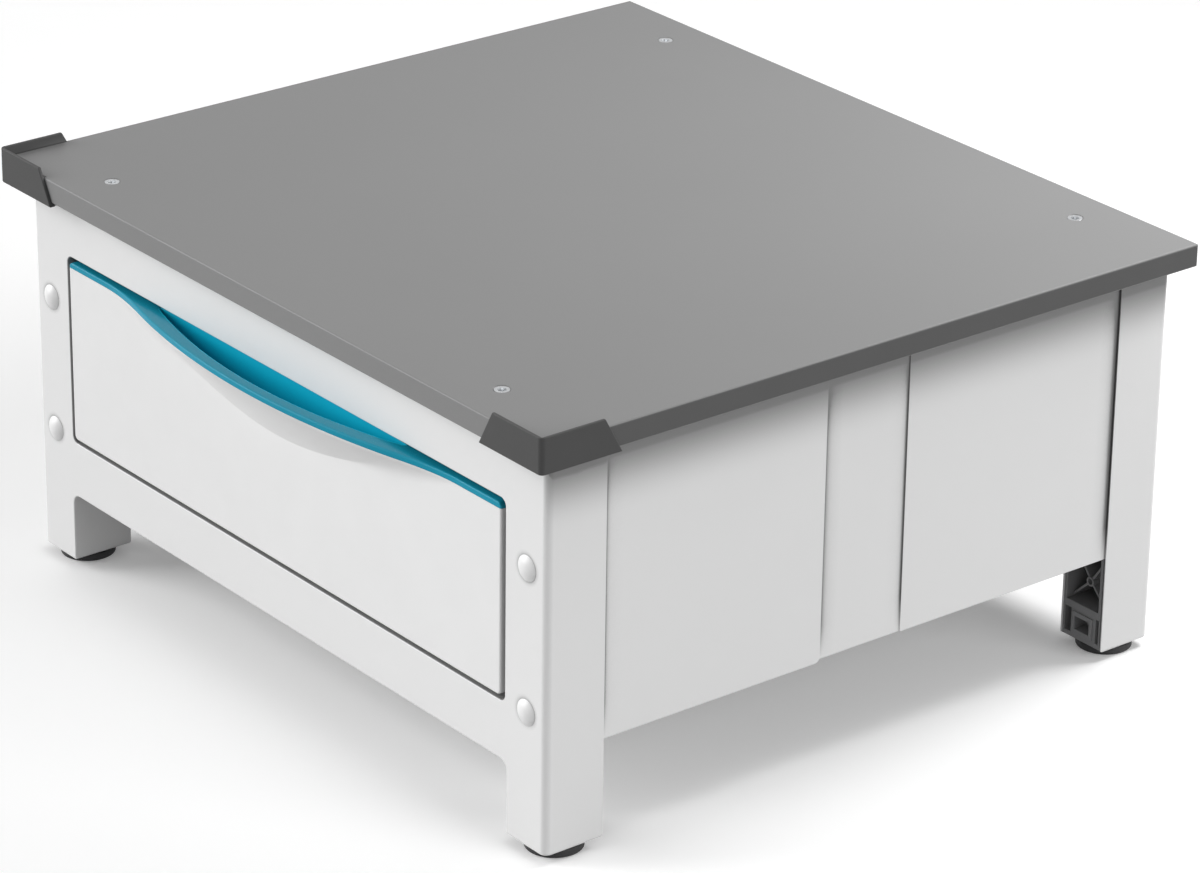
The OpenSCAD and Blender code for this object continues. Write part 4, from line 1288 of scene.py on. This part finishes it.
    def hollow(self, builder: Builder, x: float, inner: bool) -> list[Vert]:
        """One row of the pocket, or of the tub round it: a section, or one point past its tip.

        Args:
            builder: where it goes.
            x: place along the drawer.
            inner: whether it is the pocket's.

        Returns:
            The row.
        """
        tip, gap, wall, top = (
            (self.pocket_tip, self.band_t, 0.0, self.top_at(x)) if inner
            else (self.tub_tip, self.tub_gap, self.tub_wall, self.band_z)
        )
        if abs(x) >= tip - 1e-6:
            return builder.points([(x, self.lip.face_y + self.pocket_tip_y, top)])
        share = min(1.0, (tip - abs(x)) / self.pocket_fade)
        rear = self.rear_wall(min(abs(x), self.pocket_tip)) + wall
        back = max(rear, self.band_front(x) + self.margin(x) + gap + 0.3 * share)
        section = self.bowl(x, gap, back, self.pocket_floor - wall, top, share)
        return builder.points((x, y, z) for y, z in section)

    def insert(self, builder: Builder) -> None:
        """Adds the band along the upper edge and the pocket behind the lip."""
        fronts, backs, pocket, tub = [], [], [], []
        joint = self.band_z
        for x in self.columns():
            y, top = self.band_front(x), self.top_at(x)
            tall = top - joint
            rise, foot = min(self.band_r, 0.6 * tall), min(self.band_foot, 0.3 * tall)
            drop = min(self.band_rear, 0.5 * tall)
            edge = [(y + foot, joint, 0), (y, joint + foot, 0), (y, top, rise), (y + self.band_top, top, 0)]
            fronts.append(builder.points((x, a, b) for a, b in fillet(edge, 6)))
            back = [(self.back_y - drop, top), (self.back_y, top - drop), (self.back_y, joint)]
            backs.append(builder.points((x, a, b) for a, b in back))
            pocket.append(self.hollow(builder, x, True))
            tub.append(self.hollow(builder, x, False))
        builder.sheet(fronts)
        builder.sheet(backs)
        # ink 1 gives the pocket's faces the lighter teal, which is painted light
        for rows, near, far, ink in ((pocket, -1, 0, 1), (tub, 0, -1, 0)):
            for k in range(1, len(rows)):
                one, two = rows[k - 1], rows[k]
                builder.face((fronts[k - 1][near], fronts[k][near], two[0], one[0]))
                builder.face((backs[k - 1][far], backs[k][far], two[-1], one[-1]))
                builder.ink = ink
                self.close(builder, one, two)
                builder.ink = 0
        for end in (0, -1):
            builder.face(fronts[end] + pocket[end] + backs[end] + tub[end])

    def close(self, builder: Builder, one: list[Vert], two: list[Vert]) -> None:
        """Joins two rows of a hollow, of which one or both may be a single point.

        Args:
            builder: where they are.
            one: the first row.
            two: the second row.
        """
        count = max(len(one), len(two))
        if count > 1:
            builder.strip(*(row * count if len(row) == 1 else row for row in (one, two)))


@dataclass
class Feet(Assembly):
    """Levelling feet: a rubber pad and a threaded stud that turns in it."""

    title: str = "levelling feet"
    x: float = 268.0
    y: Flat = (-229.0, 244.0)
    pad_r: float = 19.3
    pad_h: float = 5.5
    groove: float = 0.7
    head_room_r: float = 7.78
    head_room: Flat = (2.5, 4.7)

    def pad(self, x: float, y: float) -> Builder:
        """The pad's mesh: a ribbed sole, a round edge and the socket of the stud's head.

        Args:
            x: middle of the pad.
            y: middle of the pad.

        Returns:
            The mesh's builder.
        """
        r, h, groove = self.pad_r, self.pad_h, self.groove
        low, high = self.head_room
        sole = [(0.0, 0.6), (4.0, 0.6), (4.6, 0.0)]
        for start in (8.6, 14.0):
            sole += [(start, 0.0), (start + 0.6, groove), (start + 1.6, groove), (start + 2.2, 0.0)]
        side = fillet([
            (16.2, 0.0, 0), (r, 0.0, 2.0), (r, h - 1.2, 0.3), (r - 0.6, h, 0.5), (r - 2.4, h, 0.3),
            (r - 3.0, h - 0.5, 0.3), (9.4, h - 0.5, 0.3), (8.8, h, 0.3), (6.5, h, 0.3), (6.5, high, 0),
        ])
        socket = [(self.head_room_r, high), (self.head_room_r, low), (0.0, low)]
        builder = Builder()
        builder.lathe(sole + side[1:] + socket, (x, y, 0), count=72)
        return builder

    def build(self) -> None:
        """Builds the four feet."""
        for end, y in zip(("front", "rear"), self.y):
            for side, x in (("left", -self.x), ("right", self.x)):
                pad, stud = f"foot_pad_{end}_{side}", f"foot_stud_{end}_{side}"
                self.keep(self.pad(x, y).finish(pad + "_moulded"), Slot.RUBBER, pad)
                self.ease(Slot.ZINC, [stud], edge=0.2)


# ---------- studio


@dataclass(frozen=True)
class Lamp:
    """A soft sun, or a square panel near the object where it has a target."""

    name: str
    power: float
    place: Point
    size: float
    target: Point | None = None

    def hang(self) -> None:
        """Makes the lamp: a sun's size is in degrees and its place only says where it shines from."""
        light = bpy.data.lights.new(self.name, "AREA" if self.target else "SUN")
        light.energy = self.power
        lamp = placed(self.name, light)
        lamp.rotation_mode = "QUATERNION"
        back = Vector(self.place) - Vector(self.target or (0, 0, 0))
        lamp.rotation_quaternion = back.to_track_quat("Z", "Y")
        if self.target:
            light.size = self.size
            lamp.location = self.place
            lamp.visible_camera = False
        else:
            light.angle = math.radians(self.size)


@dataclass
class Studio:
    """Floor, light and camera."""

    eye: Point = (2.45428, -1.93527, 1.52330)
    azimuth: float = 0.89893226
    elevation: float = 0.42123331
    roll: float = 0.01354159
    lens: float = 150.67
    sensor: float = 36.0
    sky: float = 0.40
    floor_white: float = 0.98
    floor_bounce: float = 0.45
    floor_lift: float = 0.14
    floor_half: float = 14.0
    floor_drop: float = 0.0002
    lamps: tuple[Lamp, ...] = (
        Lamp("front_left", power=2.9, place=(-0.72, -0.62, 0.31), size=42),
        Lamp("right", power=1.2, place=(0.90, 0.26, 0.34), size=40),
        Lamp("rear_panel", power=6.0, place=(0.35, 0.65, 0.88), size=0.4, target=(0.15, 0.1, 0.29)),
    )

    def choose(self, tree: Tree, usual: Node, seen: Node, output: str) -> None:
        """Shows one shader to the camera, to mirrors and through glass, and another to the rest.

        Args:
            tree: the node tree.
            usual: shader for other rays.
            seen: shader for what is seen.
            output: type of the output node.
        """
        rays = tree.add("LightPath").outputs
        shown = rays["Is Camera Ray"]
        for name in ("Is Glossy Ray", "Is Transmission Ray"):
            shown = tree.math("MAXIMUM", shown, rays[name])
        tree.add(output, tree.add("MixShader", shown, usual.outputs[0], seen.outputs[0]).outputs[0])

    def backdrop(self) -> None:
        """A white surround that lights the object at a plain level."""
        world = bpy.data.worlds.new("studio")
        bpy.context.scene.world = world
        tree = Tree(world)
        light, seen = (tree.add("Background", WHITE, strength) for strength in (self.sky, 1.0))
        self.choose(tree, light, seen, "OutputWorld")

    def floor(self) -> None:
        """A pale floor that keeps the object's shadow and lets the camera see through from below."""
        half = self.floor_half
        mesh = bpy.data.meshes.new("floor")
        rim = [(x * half, y * half, 0) for x, y in ((-1, -1), (1, -1), (1, 1), (-1, 1))]
        mesh.from_pydata(rim, [], [(0, 1, 2, 3)])
        piece = placed("floor", mesh)
        piece.location.z = -self.floor_drop
        material = bpy.data.materials.new("floor")
        tree = Tree(material)
        whites = (self.floor_white, self.floor_bounce)
        matt, bounce = (tree.add("BsdfDiffuse", (white, white, white, 1.0)) for white in whites)
        lift = tree.add("Emission", WHITE, self.floor_lift)
        above = tree.add("AddShader", matt.outputs[0], lift.outputs[0])
        below = tree.add("BsdfTransparent")
        back = tree.add("NewGeometry").outputs["Backfacing"]
        seen = tree.add("MixShader", back, above.outputs[0], below.outputs[0])
        self.choose(tree, bounce, seen, "OutputMaterial")
        mesh.materials.append(material)
        piece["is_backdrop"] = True

    def camera(self) -> None:
        """The camera at the photograph's place."""
        a, e = self.azimuth, self.elevation
        back = Vector((math.sin(a) * math.cos(e), -math.cos(a) * math.cos(e), math.sin(e)))
        right = (-back).cross(Vector((0, 0, 1))).normalized()
        up = right.cross(-back)
        c, s = math.cos(self.roll), math.sin(self.roll)
        data = bpy.data.cameras.new("camera")
        data.lens, data.sensor_width, data.sensor_fit = self.lens, self.sensor, "HORIZONTAL"
        data.clip_start, data.clip_end = 0.05, 100.0
        camera = placed("camera", data)
        matrix = Matrix((c * right + s * up, c * up - s * right, back)).transposed().to_4x4()
        matrix.translation = Vector(self.eye)
        camera.matrix_world = matrix
        bpy.context.scene.camera = camera

    def build(self) -> None:
        """Sets the stage."""
        self.backdrop()
        self.floor()
        for lamp in self.lamps:
            lamp.hang()
        self.camera()
        bpy.context.scene.view_settings.view_transform = "Standard"


def corners(box: tuple[Vector, Vector]) -> list[list[float]]:
    """A box as plain lists."""
    return [list(corner) for corner in box]


def main() -> None:
    """Builds the stage and every sub-assembly."""
    logging.basicConfig(level=logging.INFO, format="%(name)s: %(message)s")
    Studio().build()
    paints = {finish.slot: finish.material() for finish in FINISHES}
    for assembly in (TopBoard, Carcass, Runners, DrawerBox, DrawerFront, Feet):
        assembly(paints).run()
    {"cad": corners(cad_box), "visual": corners(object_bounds())}


if __name__ == "__main__":
    main()
